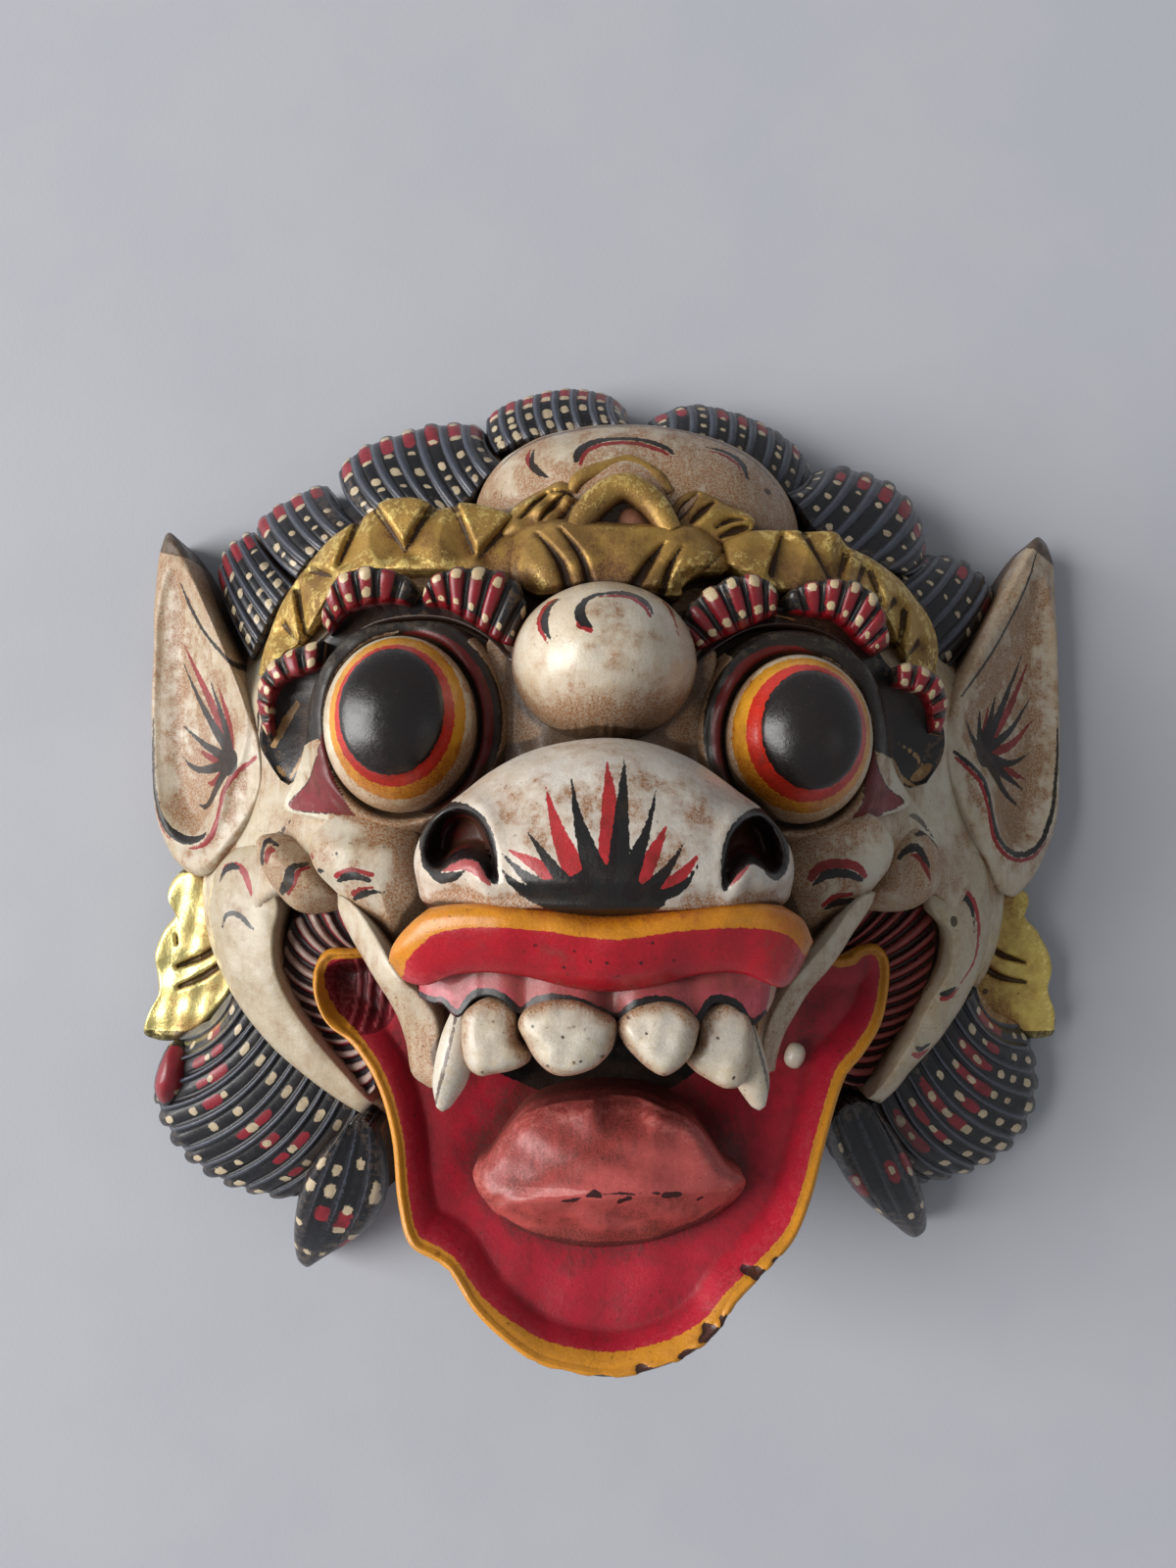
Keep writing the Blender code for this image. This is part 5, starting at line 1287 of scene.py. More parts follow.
def ears():
    """Leaf-shaped ears: a sloping flank, a rolled rim in a bell curve, and a bowl sunk by an S curve."""
    for side, outline in EARS.items():
        bowl = BOWLS[side]

        def top(x, y, r, side=side, bowl=bowl):
            inside = area(pairs(x, y), bowl, 90)
            flank = 33 - 0.74 * (side * x - 72) + 0.05 * np.maximum(40 - y, 0) * smooth_step(side * x, 70, 84)
            roll = 1.2 * np.exp(-((inside + 1.2) / 1.5) ** 2)
            deep = 4.6 * smooth_step(inside, -0.6, 6.5) * (0.55 + 0.45 * smooth_step(-y, -42, 2))
            edge = 2.2 * smooth_step(r, 0.93, 1.0) ** 2
            return np.maximum(flank + roll - deep - edge, 5.5) + uneven(x, y, 16, 0.3, 171)
        rings = relief(outline, top, foot=0.5, step=0.55, middle=np.mean(bowl, axis=0), foot_scale=0.97)
        at = flat(rings)
        x, y = xy(at)
        hub = EAR_HUBS[side]
        spikes = [widened((hub, middle, tip), (1.5, 0.75, 0.08)) for tip, middle in EAR_BLACK[side]]
        red_spikes = [widened((hub, middle, tip), (1.3, 0.95, 0.12)) for tip, middle in EAR_RED[side]]
        lines, red_lines = EAR_LINES[side]
        hub_spot = 2.3 - np.hypot(x - hub[0], (y - hub[1]) * 0.8)
        inside = area(at, bowl, 90)
        tip = (y - 62.2) * 0.8 + 0.4 * (side * x - 99) * (1 if side == LEFT else -0.6)
        upper = smooth_step(y, 16, 40) * np.where(side == RIGHT, 1.0, 0.45)
        stain = upper * (2.6 - 0.45 * np.abs(inside + 3)) - 0.4
        deep = (2.6 - np.hypot((x - side * 90) / 1.6, y - 2.6)) * 0.8
        carve("ear", rings, "cream", side, black=any_of(strokes(at, *spikes, *lines), hub_spot),
              red=strokes(at, *red_spikes, *red_lines), stain=any_of(stain, deep), tip=tip)


EARRINGS = {
    RIGHT: [(-96, -9.4), (-99.1, -12.2), (-100.2, -15.6), (-98.2, -18.6), (-98.6, -20.6), (-101.6, -24.4),
        (-103.2, -30), (-102.4, -37.7), (-105, -43.4), (-105.6, -48), (-98.8, -49), (-92.2, -45.6),
        (-85.6, -38), (-83.6, -33), (-86, -24), (-89.7, -15), (-92.6, -9.4)],
    LEFT: [(84.6, -15.6), (88.4, -12.6), (93.6, -13.2), (97.8, -15.6), (96.8, -20.2), (100.7, -24.7),
        (103.4, -31.6), (102.6, -37.2), (104.2, -43.4), (103.4, -47.8), (96.6, -48.2), (89.9, -44.6),
        (84, -40), (81.4, -35), (83.6, -26)]}
EARRING_SLITS = {
    RIGHT: [[(-97.8, -31.9, 0.5), (-92, -29.6, 0.85), (-86.8, -26.4, 0.6)], [(-97.2, -36.5, 0.5),
        (-91.6, -34, 0.85), (-85.6, -30, 0.6)], [(-98, -24.8, 0.2), (-97.8, -26.6, 0.25)]],
    LEFT: [[(86.9, -25.8, 0.5), (91, -29, 0.7), (96.9, -31, 0.3)], [(84.8, -29.2, 0.7), (90, -33.8, 0.8),
        (96.9, -35.5, 0.4)]]}


def earrings():
    """Thin scalloped leaves of wood, gilded, with two slanting slits, lower by a straight slope outward
    and by an S curve at the edge."""
    for side, outline in EARRINGS.items():
        slits = EARRING_SLITS[side]

        def top(x, y, r, side=side):
            edge = 1.2 * smooth_step(r, 0.9, 1) ** 2
            return 11.6 - 0.08 * (side * x - 84) - edge + uneven(x, y, 7, 0.35, 181)
        rings = relief(outline, grooved(top, slits, 1.7), foot=0.7, step=0.42,
                       middle=(side * 92.5, -30))
        at = flat(rings)
        y = at[..., 1]
        below = (rings[..., 2] < 8.6) * 3.0 - 1.2
        under_ear = 1.2 - 0.9 * (-y - 9) if side == RIGHT else 1.9 - 0.8 * (-y - 12)
        pit = dots(at, 0.7, [(87.2, -37.3)])
        carve("earring", rings, "bright_gold" if side == RIGHT else "dull_gold", side,
              gaps=any_of(strokes(at, *slits), below, under_ear, 0.9 * (-y - 46.6), pit))


# Dabs of cream and of red: see strand_marks for what the numbers say
DABS = {
    RIGHT: ([(0.965, 0.55, 1.2, 0.3, 0.1), (0.47, 0.9, 0.95, 0.5, 0), (0.13, 0.9, 0.8, 0.5, 0.1),
        (0.71, 0.55, 1.2, 0.3, 0.1), (0.3, 0.5, 0.9, 0.5, 0.3)], [(0.84, 2, 1.5, 0.3, 0)]),
    LEFT: ([(0.9, 0.4, 0.9, 0.4, 0.4), (0.66, 0.5, 0.8, 0.4, 0.15), (0.42, 0.5, 0.8, 0.4, 0.1),
        (0.18, 0.6, 0.8, 0.4, 0.15)], [(0.8, 1.5, 1.3, 0.3, 0.3)])}
TOP_HAIR = {
    RIGHT: [("a", [(-26.6, 94.1), (-22.3, 96.8), (-17.1, 98.6), (-12.8, 99.8), (-7.8, 100.4), (-3, 100),
        (1.9, 98.6), (5.3, 96.1)], [(-24, 83.4), (-18.5, 85.4), (-13.8, 86.4), (-9.7, 87), (-5.7, 88),
        (-1.1, 88.6), (3.1, 89), (6.6, 89.4)], 8, 1, 9, 17, 4.5), ("b", [(-60.6, 81.6), (-54.8, 86.3),
        (-50, 88.4), (-45.1, 89.9), (-40.3, 91.3), (-35.6, 91.8), (-29.9, 91.8), (-26.4, 90)], [(-51.5, 67),
        (-43.4, 69.5), (-37.1, 69.5), (-33, 69), (-28.5, 72), (-25.6, 75.8), (-21, 79.5)], 7, 1.5, 10, 21,
        6.5), ("c", [(-63.5, 78.6), (-67.4, 77.3), (-71.2, 75.3), (-76.2, 72.3), (-79.8, 68.7)],
        [(-54, 66.6), (-58.6, 62.6), (-62.6, 59.4), (-67.2, 54.8)], 4, 1, 9, 21, 5.5), ("d", [(-80.4, 68),
        (-83.8, 65.8), (-86.6, 63.2), (-88.4, 57.4)], [(-68, 53.6), (-71.8, 48), (-74.6, 42.6),
        (-77.4, 37.4)], 4, 0.5, 9, 20, 4)],
    LEFT: [("a", [(10.4, 93.4), (16.9, 96.1), (21.9, 96.7), (28.2, 95.4), (33.9, 93.6), (39.6, 90.6),
        (44.6, 86.6), (47.9, 81.4)], [(10.6, 86.4), (18.5, 85), (26, 83), (31.6, 80.4), (36, 77.4),
        (39.6, 74.4), (42, 72), (43.6, 69.6)], 9, -0.8, 9, 17, 4.5), ("b", [(46.4, 80.6), (53, 82.2),
        (59.3, 80.7), (65.6, 78), (70.3, 73.3), (72.6, 67.6), (73.2, 61.2)], [(39.6, 73.6), (42.4, 69),
        (46, 64), (51, 60.4), (56.4, 57.6), (61.5, 56.2), (66.4, 55.6)], 7, -1, 10, 21, 6.5), ("c",
        [(71.6, 62.2), (76.7, 62.3), (81.4, 61.2), (85, 58.9), (88, 55.6), (89.6, 51.6)], [(62.4, 56.4),
        (65.6, 51.4), (68.6, 46.6), (70.8, 41), (72.8, 37), (74.4, 34)], 5, -0.8, 9, 20, 5)]}


def hair_lobe(name, side, outer, inner, cords, bend, z_outer, z_inner, swell, cream_rows, red_rows, seed,
              duty=0.4, spread=0.0, scallop=0.035, bare_cord=0.02, **more):
    """One cushion of hair: grey cords over dark strands that carry dabs of cream and red; the cords' grey is
    partly worn paint and dust, partly a painted sheen.  A cord is painted up to half its duty from its
    middle line, less the bare share beside it."""
    along, across = mean_length(outer, inner)
    rings, u, v = lobe(outer, inner, swell, z_outer, z_inner, foot=0.6, step=0.4, bend=bend, spread=spread,
                       cords=cords, cord=1.5, strand=0.55, duty=duty, scallop=scallop, **more)
    phase = u * cords
    off = np.abs(phase - np.round(phase))
    # The grey on each cord's crest is partly worn paint and dust, partly a painted sheen.
    cord = (duty / 2 - off) * along / cords * np.clip((1 - v) / more.get("fade", 0.02), 0.3, 1)
    crest = cord - bare_cord * along / cords
    open_strand = -cord - 0.1
    cream = np.minimum(strand_marks(u, v, cords, along, across, cream_rows, seed), open_strand)
    red = np.minimum(strand_marks(u, v, cords, along, across, red_rows, seed + 1), open_strand)
    carve(name, rings, "hair", side, cord=crest, cream=cream, red=red)


LOW_HAIR = {
    RIGHT: ([(-98.6, -48.5), (-101.6, -54.5), (-102.2, -62.5), (-99.8, -68.8), (-96.3, -74), (-92, -77.9),
        (-87.6, -80.7), (-82.8, -82.6), (-78.1, -83.9), (-72, -85.2)], [(-80, -34), (-75.6, -39),
        (-72.9, -43), (-69.6, -46.8), (-65.8, -50.1), (-62.1, -53.1), (-58.7, -55.8), (-55.4, -58.4),
        (-52.4, -60.5), (-50, -62.5)], 10, 3.2),
    LEFT: ([(70, -81.4), (76, -80.8), (82.5, -79), (88.1, -76.5), (93.8, -72), (97.7, -65.8), (99.2, -58),
        (98.2, -50), (96.4, -45)], [(52, -60.5), (55.5, -60), (58.9, -57.4), (62, -54.6), (65.8, -51.4),
        (69.2, -47.2), (72.4, -42.9), (75.6, -38.6), (80.6, -34)], 10, -3.2)}
LOCKS = {
    RIGHT: ([(-70.8, -97.6), (-70, -99.6), (-68.2, -101), (-66.6, -100.2), (-65.4, -98)], [(-55.4, -63.2),
        (-52.8, -60.6), (-50, -60.2), (-47.6, -63)], 4, 2.1, -6.1),
    LEFT: ([(66.8, -90.6), (69, -93), (71.6, -94.2), (73.8, -92.8), (74.6, -90.4)], [(46.6, -62),
        (49.6, -57.4), (54, -56.4), (58, -59.4)], 4, -0.6, -2.6)}
# Height of the outer edge, of the inner one, and the swell between them
LOW_LEVELS = (8.5, 24, 4.0)
LOCK_LEVELS = (8, 29.5, 6.0)
LOW_DABS = {
    RIGHT: ([(0.92, 0.8, 0.8, 0.6, 0.1), (0.72, 0.9, 0.9, 0.8, 0.2), (0.5, 1.1, 0.9, 0.8, 0),
        (0.16, 1.5, 0.9, 0.7, 0.2)], [(0.42, 2.6, 1.15, 1.2, 0.1), (0.6, 2.4, 1.15, 1.2, 0.35)]),
    LEFT: ([(0.92, 0.8, 0.8, 0.5, 0.1), (0.78, 0.9, 0.8, 0.5, 0.1), (0.62, 1, 0.9, 0.6, 0.05),
        (0.42, 1.3, 0.7, 0.7, 0.2), (0.2, 1.2, 0.9, 0.7, 0.15)], [(0.3, 4.4, 1.15, 0.8, 0.1),
        (0.5, 2.4, 1.1, 0.8, 0.2)])}
LOCK_DABS = {
    RIGHT: ([(0.86, 0.8, 0.8, 0.8, 0), (0.66, 1, 0.8, 2.2, 0.2), (0.42, 1.8, 0.6, 2.6, 0.1),
        (0.24, 1.8, 0.6, 2.6, 0.2)], [(0.55, 2.6, 1.1, 3, 0.2)]),
    LEFT: ([(0.8, 1, 0.7, 1.6, 0.2), (0.46, 1.4, 0.6, 1.8, 0.2), (0.24, 1.9, 0.5, 1.6, 0.2)],
        [(0.46, 3.4, 1.1, 1.6, 0.25)])}
PETAL = [(-97.6, -48.4), (-100.6, -53.6), (-101.6, -59), (-99.6, -62.6), (-96.4, -61), (-93.4, -56.6),
    (-93.6, -50.4)]


def hair():
    """The cushions over the crown and below the ears, the two loose locks and one leaf by the earring."""
    for side, lobes in TOP_HAIR.items():
        for number, (name, outer, inner, cords, bend, z_outer, z_inner, swell) in enumerate(lobes):
            hair_lobe("hair_" + name, side, outer, inner, cords, bend, z_outer, z_inner,
                      swell, *DABS[side], 200 + 10 * number + side)
    for side, (outer, inner, cords, bend) in LOW_HAIR.items():
        hair_lobe("hair_low", side, outer, inner, cords, bend, *LOW_LEVELS, *LOW_DABS[side],
                  240 + side, duty=0.3, bare_cord=0.08)
    for side, (outer, inner, cords, bend, spread) in LOCKS.items():
        hair_lobe("lock", side, outer, inner, cords, bend, *LOCK_LEVELS, *LOCK_DABS[side],
                  260 + side, duty=0.26, spread=spread, scallop=0.0, fade=0.6, bare_cord=0.08)
    rings = relief(PETAL, lambda x, y, r: 18.4 - 4.4 * r**2.2, foot=0.8, step=0.42)
    at = flat(rings)
    carve("hair_petal_right", rings, "hair", cream=dots(at, 0.8, [(-95.6, -59.4)]), red=area(at, PETAL) - 0.6)


# ------------------------ from rings to meshes

CELL = 0.5              # side of a cell of the height map
MAP_HALF = 112.0        # half the width of the height map
PIN_HOLE = 2.0          # a cell this far below its neighbours is filled
FACING_DOWN = -0.8      # faces turned down at least this much are bare wood
NEAR_BLUR = 2.0         # the bell curves that say how sunk a point is, close by and further off
WIDE_BLUR = 6.0


def height_map():
    """The highest point of any piece over each cell, with pin holes closed."""
    size = int(2 * MAP_HALF / CELL)
    found = np.zeros((size, size))
    for piece in PIECES:
        points = piece["rings"].reshape(-1, 3)
        cells = np.clip(((points[:, :2] + MAP_HALF) / CELL).astype(int), 0, size - 1)
        np.maximum.at(found, (cells[:, 0], cells[:, 1]), points[:, 2])
    around = [np.roll(found, (i, j), (0, 1)) for i in (-1, 0, 1) for j in (-1, 0, 1)]
    middle = np.median(np.array(around), axis=0)
    return np.where(found < middle - PIN_HOLE, np.maximum(middle, found), found)


def blurred(field, radius):
    """The field smoothed by a bell curve of the given radius."""
    turns = np.fft.fftfreq(len(field)) * 2 * np.pi * radius / CELL
    bell = np.exp(-0.5 * turns**2)
    return np.real(np.fft.ifft2(np.fft.fft2(field) * bell[:, None] * bell[None, :]))


def sample(field, points):
    """The field read at points between its cells."""
    at = np.clip((points[..., :2] + MAP_HALF) / CELL - 0.5, 0, len(field) - 2)
    low = at.astype(int)
    part = at - low
    i, j = low[..., 0], low[..., 1]
    return ((1 - part[..., 0]) * (1 - part[..., 1]) * field[i, j] + part[..., 0] * (1 - part[..., 1])
            * field[i + 1, j] + (1 - part[..., 0]) * part[..., 1] * field[i, j + 1]
            + part[..., 0] * part[..., 1] * field[i + 1, j + 1])


def quads_of(rows, columns):
    """Corner numbers of the quads between closed rings, and of the two fans that close the ends."""
    index = np.arange(rows * columns).reshape(rows, columns)
    after = np.roll(index, -1, axis=1)
    quads = np.stack([index[:-1], after[:-1], after[1:], index[1:]], axis=-1).reshape(-1, 4)
    first, last = rows * columns, rows * columns + 1
    ends = [np.column_stack([after[0], index[0], np.full(columns, first)]),
            np.column_stack([index[-1], after[-1], np.full(columns, last)])]
    return quads, np.concatenate(ends)


def build(piece, near_field, wide_field):
    """Makes the mesh of one piece, its ink distances, and how sunk or proud each point is: the blurred
    height map there less the point's own height."""
    rings = piece["rings"]
    rows, columns = rings.shape[:2]
    points = np.concatenate([rings.reshape(-1, 3), rings[:1].mean(axis=1), rings[-1:].mean(axis=1)])
    quads, fans = quads_of(rows, columns)
    corners = points[quads]
    normal = np.cross(corners[:, 2] - corners[:, 0], corners[:, 3] - corners[:, 1])
    if (corners.mean(axis=1) * normal).sum() < 0:       # inside out
        quads, fans, normal = quads[:, ::-1], fans[:, ::-1], -normal
    steep = normal[:, 2] / np.maximum(np.linalg.norm(normal, axis=1), 1e-12)
    bare = steep < FACING_DOWN
    if piece["bare"]:
        bare = np.repeat(np.arange(rows - 1) >= piece["bare"], columns)
    fan_bare = np.repeat([False, True], columns)
    mesh = bpy.data.meshes.new(piece["name"])
    mesh.vertices.add(len(points))
    mesh.vertices.foreach_set("co", (points * MM).astype(np.float32).ravel())
    mesh.loops.add(quads.size + fans.size)
    mesh.loops.foreach_set("vertex_index", np.concatenate([quads.ravel(), fans.ravel()]).astype(np.int32))
    mesh.polygons.add(len(quads) + len(fans))
    starts = np.concatenate([np.arange(len(quads)) * 4, quads.size + np.arange(len(fans)) * 3])
    mesh.polygons.foreach_set("loop_start", starts.astype(np.int32))
    mesh.polygons.foreach_set("material_index", np.concatenate([bare, fan_bare]).astype(np.int32))
    mesh.materials.append(material_of(piece["paint"]))
    mesh.materials.append(material_of("bare_wood"))
    nothing = np.full(rings.shape[:2], FAR_OUTSIDE)
    paint = PAINTS[piece["paint"]]
    fields = {name: np.broadcast_to(piece["inks"].get(name, nothing), rings.shape[:2])
              for name, *_ in [*paint.get("soft", ()), *paint.get("inks", ())]}
    for name, field, most in (("sunk", near_field, 4), ("deep", wide_field, 8)):
        fields[name] = np.clip(sample(field, rings) - rings[..., 2], -most, most)
    for name, field in fields.items():
        values = np.concatenate([field.ravel(), [field[0].mean(), field[-1].mean()]])
        layer = mesh.attributes.new(name, "FLOAT", "POINT")
        layer.data.foreach_set("value", np.clip(values, FAR_OUTSIDE, 8).astype(np.float32))
    mesh.update(calc_edges=True)
    mesh.validate()
    mesh.shade_smooth()
    made = bpy.data.objects.new(piece["name"], mesh)
    bpy.context.scene.collection.objects.link(made)
    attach(made, "root")
    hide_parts("mask")
    return made


# ------------------------ paints and finishes

# Colours as the eye reads them, 0 to 255
AGED_CREAM = (198, 190, 172)
YELLOWED = (182, 164, 130)
LINE_BLACK = (15, 14, 15)
BLOOD_RED = (150, 22, 30)
DARK_RED = (116, 2, 16)
WAX_BROWN = (52, 34, 20)
STAIN_BROWN = (178, 122, 72)
BARE_WOOD = (176, 140, 96)
CARD = (174, 177, 184)
CARD_CLOUDS = (178, 180, 187)

PAINTS = {
    "cream": dict(
        name="aged_cream", ground=AGED_CREAM, patches=YELLOWED, soft=[("stain", 1.0)],
        inks=[("pink", (205, 130, 120), 0.6), ("dull", (74, 70, 82), 0.7), ("red", BLOOD_RED, 0.98),
              ("black", LINE_BLACK, 0.985), ("dark", DARK_RED, 0.99), ("tip", (46, 30, 22), 0.85),
              ("gaps", WAX_BROWN, 0.85)],
        stain=1.25, wear=0.2, blotches=0.5),
    "crimson": dict(
        name="crimson", ground=(178, 34, 52), patches=(140, 22, 40),
        # The first, near-black ink is a painted shadow in the mouth under the teeth.
        inks=[("cavity", (14, 10, 12), 1.0), ("dark", (84, 14, 26), 0.75), ("fold", (190, 96, 100), 0.5),
              ("rim", (206, 140, 36), 0.95), ("chips", (52, 24, 26), 0.95)],
        stain=0.5, stain_colour=(120, 84, 84), wear=0.08, wear_colour=(205, 120, 118), cracks=0.25,
        blotches=0.08, tint=0.35),
    "tongue": dict(
        name="tongue_salmon", ground=(186, 86, 82), patches=(164, 68, 66),
        # Both soft darkenings of the tongue are painted shade: over its back under the teeth, and over its
        # front slope.
        soft=[("back", 0.7), ("dirt", 0.9)],
        # The pale stroke on the crest is a painted highlight.
        inks=[("under", (84, 46, 46), 0.7), ("gleam", (226, 150, 146), 0.5), ("chips", (44, 18, 22), 0.97)],
        stain=0.5, stain_colour=(140, 92, 80), wear=0.2, wear_colour=(224, 140, 130), blotches=0.15),
    "lip": dict(
        name="lip_red", ground=(172, 20, 36), patches=(140, 14, 30), soft=[("dull", 0.6)],
        inks=[("orange", (204, 132, 26), 0.97), ("pits", (60, 12, 14), 0.9)],
        stain=0.8, stain_colour=(190, 140, 120), wear=0.3, wear_colour=(206, 70, 70), blotches=0.08,
        gloss=(0.25, 0.4), coat=0.25),
    "gum": dict(
        name="gum_pink", ground=(178, 76, 86), patches=(150, 54, 64), soft=[("folds", 1.0)],
        inks=[("line", (14, 8, 10), 1.0)],
        stain=0.8, stain_colour=(190, 120, 104), gloss=(0.3, 0.46), coat=0.2),
    "ivory": dict(
        name="tooth_ivory", ground=(204, 196, 182), patches=(190, 174, 144), soft=[("edge", 1.3)],
        inks=[("line", (60, 34, 30), 0.8), ("spots", (66, 44, 30), 0.9)],
        stain=0.8, blotches=0.3, gloss=(0.26, 0.42), coat=0.3),
    "snout": dict(
        name="snout_cream", ground=(210, 203, 192), patches=(192, 174, 150), soft=[("low", 1.0)],
        inks=[("hole", (136, 16, 32), 1.0), ("deep", (98, 6, 20), 1.0), ("curl", (170, 52, 62), 0.9),
              ("red_flame", (176, 20, 32), 0.97), ("black_flame", LINE_BLACK, 0.99),
              ("black", LINE_BLACK, 0.98)],
        stain=1.5, wear=0.1, blotches=0.45, gloss=(0.26, 0.42), coat=0.2),
    "bump": dict(
        name="bump_cream", ground=(208, 198, 180), patches=(188, 166, 130), soft=[("low", 1.0)],
        inks=[("hole", BLOOD_RED, 0.98), ("black", LINE_BLACK, 0.985)],
        stain=1.5, wear=0.2, gloss=(0.2, 0.34), coat=0.4),
    "eye": dict(
        name="eye_white", ground=(222, 212, 190), patches=(200, 180, 140), soft=[("low", 0.9)],
        inks=[("yellow", (212, 146, 26), 0.97), ("red", (190, 34, 28), 0.97), ("pupil", (28, 22, 22), 1.0)],
        stain=1.0, gloss=(0.2, 0.32), coat=0.32),
    "brow": dict(
        name="brow_black", ground=(26, 25, 28), patches=(40, 36, 36),
        inks=[("base", DARK_RED, 0.9), ("edge", (60, 36, 24), 0.7), ("red", (136, 24, 36), 0.96),
              ("tan", (176, 140, 92), 0.9), ("cream", (206, 186, 146), 0.95)],
        stain=0.4, wear=0.35, wear_colour=(120, 92, 60), coat=0.3),
    # The grey of the cords is partly worn paint and dust, partly a painted sheen.
    "hair": dict(
        name="hair_black", ground=(16, 16, 22), patches=(26, 24, 28),
        inks=[("cord", (66, 70, 82), 0.95), ("red", (140, 26, 40), 0.97), ("cream", (196, 178, 148), 0.97)],
        stain=0.45, stain_colour=(100, 84, 70), wear=0.3, wear_colour=(124, 104, 84), coat=0.3),
    "old_gold": dict(
        name="old_gold", ground=(174, 138, 70), patches=(126, 94, 52), inks=[("gaps", (52, 30, 20), 0.85)],
        stain=0.9, stain_colour=(130, 86, 50), wear=0.9, wear_colour=(206, 180, 108), metal=0.5,
        gloss=(0.42, 0.6), coat=0.08, tint=0.8, relief_mm=0.09),
    "bright_gold": dict(
        name="earring_gold", ground=(244, 232, 158), patches=(214, 186, 104),
        inks=[("gaps", (56, 36, 20), 0.85)],
        stain=0.7, wear=0.9, wear_colour=(240, 222, 140), metal=0.8, gloss=(0.28, 0.44), relief_mm=0.08),
    "dull_gold": dict(
        name="earring_old_gold", ground=(212, 188, 102), patches=(168, 136, 68),
        inks=[("gaps", (46, 30, 18), 0.85)],
        stain=0.7, wear=0.8, wear_colour=(226, 204, 124), metal=0.4, gloss=(0.36, 0.5), relief_mm=0.08),
    "jewel": dict(
        name="jewel_rose", ground=(150, 112, 100), patches=(104, 72, 62), stain=0.8, gloss=(0.3, 0.45)),
    "tan": dict(
        name="tan_cream", ground=(178, 166, 144), patches=(158, 136, 102),
        inks=[("red", BLOOD_RED, 0.97), ("black", LINE_BLACK, 0.98), ("gaps", WAX_BROWN, 0.9)], stain=0.9),
    "fan_right": dict(
        name="fan_pink", ground=(58, 56, 62), patches=(48, 44, 48),
        inks=[("red", (150, 50, 62), 0.95), ("pale", (166, 144, 134), 0.95)], stain=0.3, coat=0.05),
    # The fan paint again, darker: painted shade for the fan on the side away from the window.
    "fan_left": dict(
        name="fan_painted_shade", ground=(30, 18, 22), patches=(26, 14, 18),
        inks=[("red", (132, 20, 32), 0.97), ("pale", (150, 74, 70), 0.9)], stain=0.4, coat=0.05),
    "bare_wood": dict(
        name="bare_wood", ground=BARE_WOOD, patches=(128, 92, 56), stain=0.8, wear=0.4,
        wear_colour=(198, 166, 122), gloss=(0.5, 0.75), coat=0.0, relief_mm=0.14, grain=1.0, cracks=0.4,
        tint=0.8)}


def seen(colour):
    """A colour as the eye reads it turned into amounts of light, by the usual screen curve."""
    level = np.array(colour) / 255
    return (*np.where(level < 0.04045, level / 12.92, ((level + 0.055) / 1.055) ** 2.4).tolist(), 1.0)


class Paint:
    """A small hand for wiring one finish: node outputs go in and come out as values."""

    def __init__(self, name):
        self.material = bpy.data.materials.new(name)
        self.material.use_nodes = True
        self.tree = self.material.node_tree
        self.shader = self.tree.nodes["Principled BSDF"]
        place = self.tree.nodes.new("ShaderNodeTexCoord").outputs["Object"]
        self.place = self.use("ShaderNodeVectorMath", {0: place, 3: 1 / MM}, operation="SCALE")

    def use(self, kind, given, out=0, **settings):
        """Adds a node, sets it, feeds its sockets and gives one of its outputs."""
        node = self.tree.nodes.new(kind)
        for name, value in settings.items():
            setattr(node, name, value)
        for key, value in given.items():
            self.feed(node.inputs[key], value)
        return node.outputs[out]

    def feed(self, socket, value):
        """Links an output to a socket, or sets the socket to a value."""
        if isinstance(value, bpy.types.NodeSocket):
            self.tree.links.new(value, socket)
        else:
            socket.default_value = value

    def math(self, operation, a, b, clamp=False):
        """One sum of two values."""
        return self.use("ShaderNodeMath", {0: a, 1: b}, operation=operation, use_clamp=clamp)

    def add(self, a, b):
        """a and b together."""
        return self.math("ADD", a, b)

    def less(self, a, b):
        """a with b taken away."""
        return self.math("SUBTRACT", a, b)

    def times(self, a, b):
        """a multiplied by b."""
        return self.math("MULTIPLY", a, b)

    def noise(self, scale, detail=2.0, rough=0.5, place=None):
        """Cloudy noise, about one half, with features 1/scale millimetres wide."""
        given = {"Vector": place or self.place, "Scale": scale, "Detail": detail, "Roughness": rough}
        return self.use("ShaderNodeTexNoise", given)

    def stretched(self, x, y, z):
        """The place in millimetres with each axis multiplied by its own amount."""
        return self.use("ShaderNodeVectorMath", {0: self.place, 1: (x, y, z)}, operation="MULTIPLY")

    def ink(self, name):
        """What a mesh says about a point: a distance in millimetres."""
        return self.use("ShaderNodeAttribute", {}, out="Fac", attribute_name=name)

    def between(self, value, low, high, bottom=0.0, top=1.0):
        """bottom at low and under it, top at high and over it, with an S curve between."""
        given = {0: value, 1: low, 2: high, 3: bottom, 4: top}
        return self.use("ShaderNodeMapRange", given, interpolation_type="SMOOTHSTEP")

    def mix(self, share, a, b, blend="MIX"):
        """Colour a with a share of colour b laid over it."""
        return self.use("ShaderNodeMix", {0: share, 6: a, 7: b}, out=2, data_type="RGBA", blend_type=blend)

    def edges(self, scale):
        """Distance to the nearest wall between cells 1/scale millimetres wide."""
        given = {"Vector": self.place, "Scale": scale}
        return self.use("ShaderNodeTexVoronoi", given, out="Distance", feature="DISTANCE_TO_EDGE")

    def bumps(self, height, depth_mm):
        """Small relief read from a height, as deep as given."""
        given = {"Height": height, "Distance": depth_mm * MM, "Strength": 1.0}
        self.feed(self.shader.inputs["Normal"], self.use("ShaderNodeBump", given))


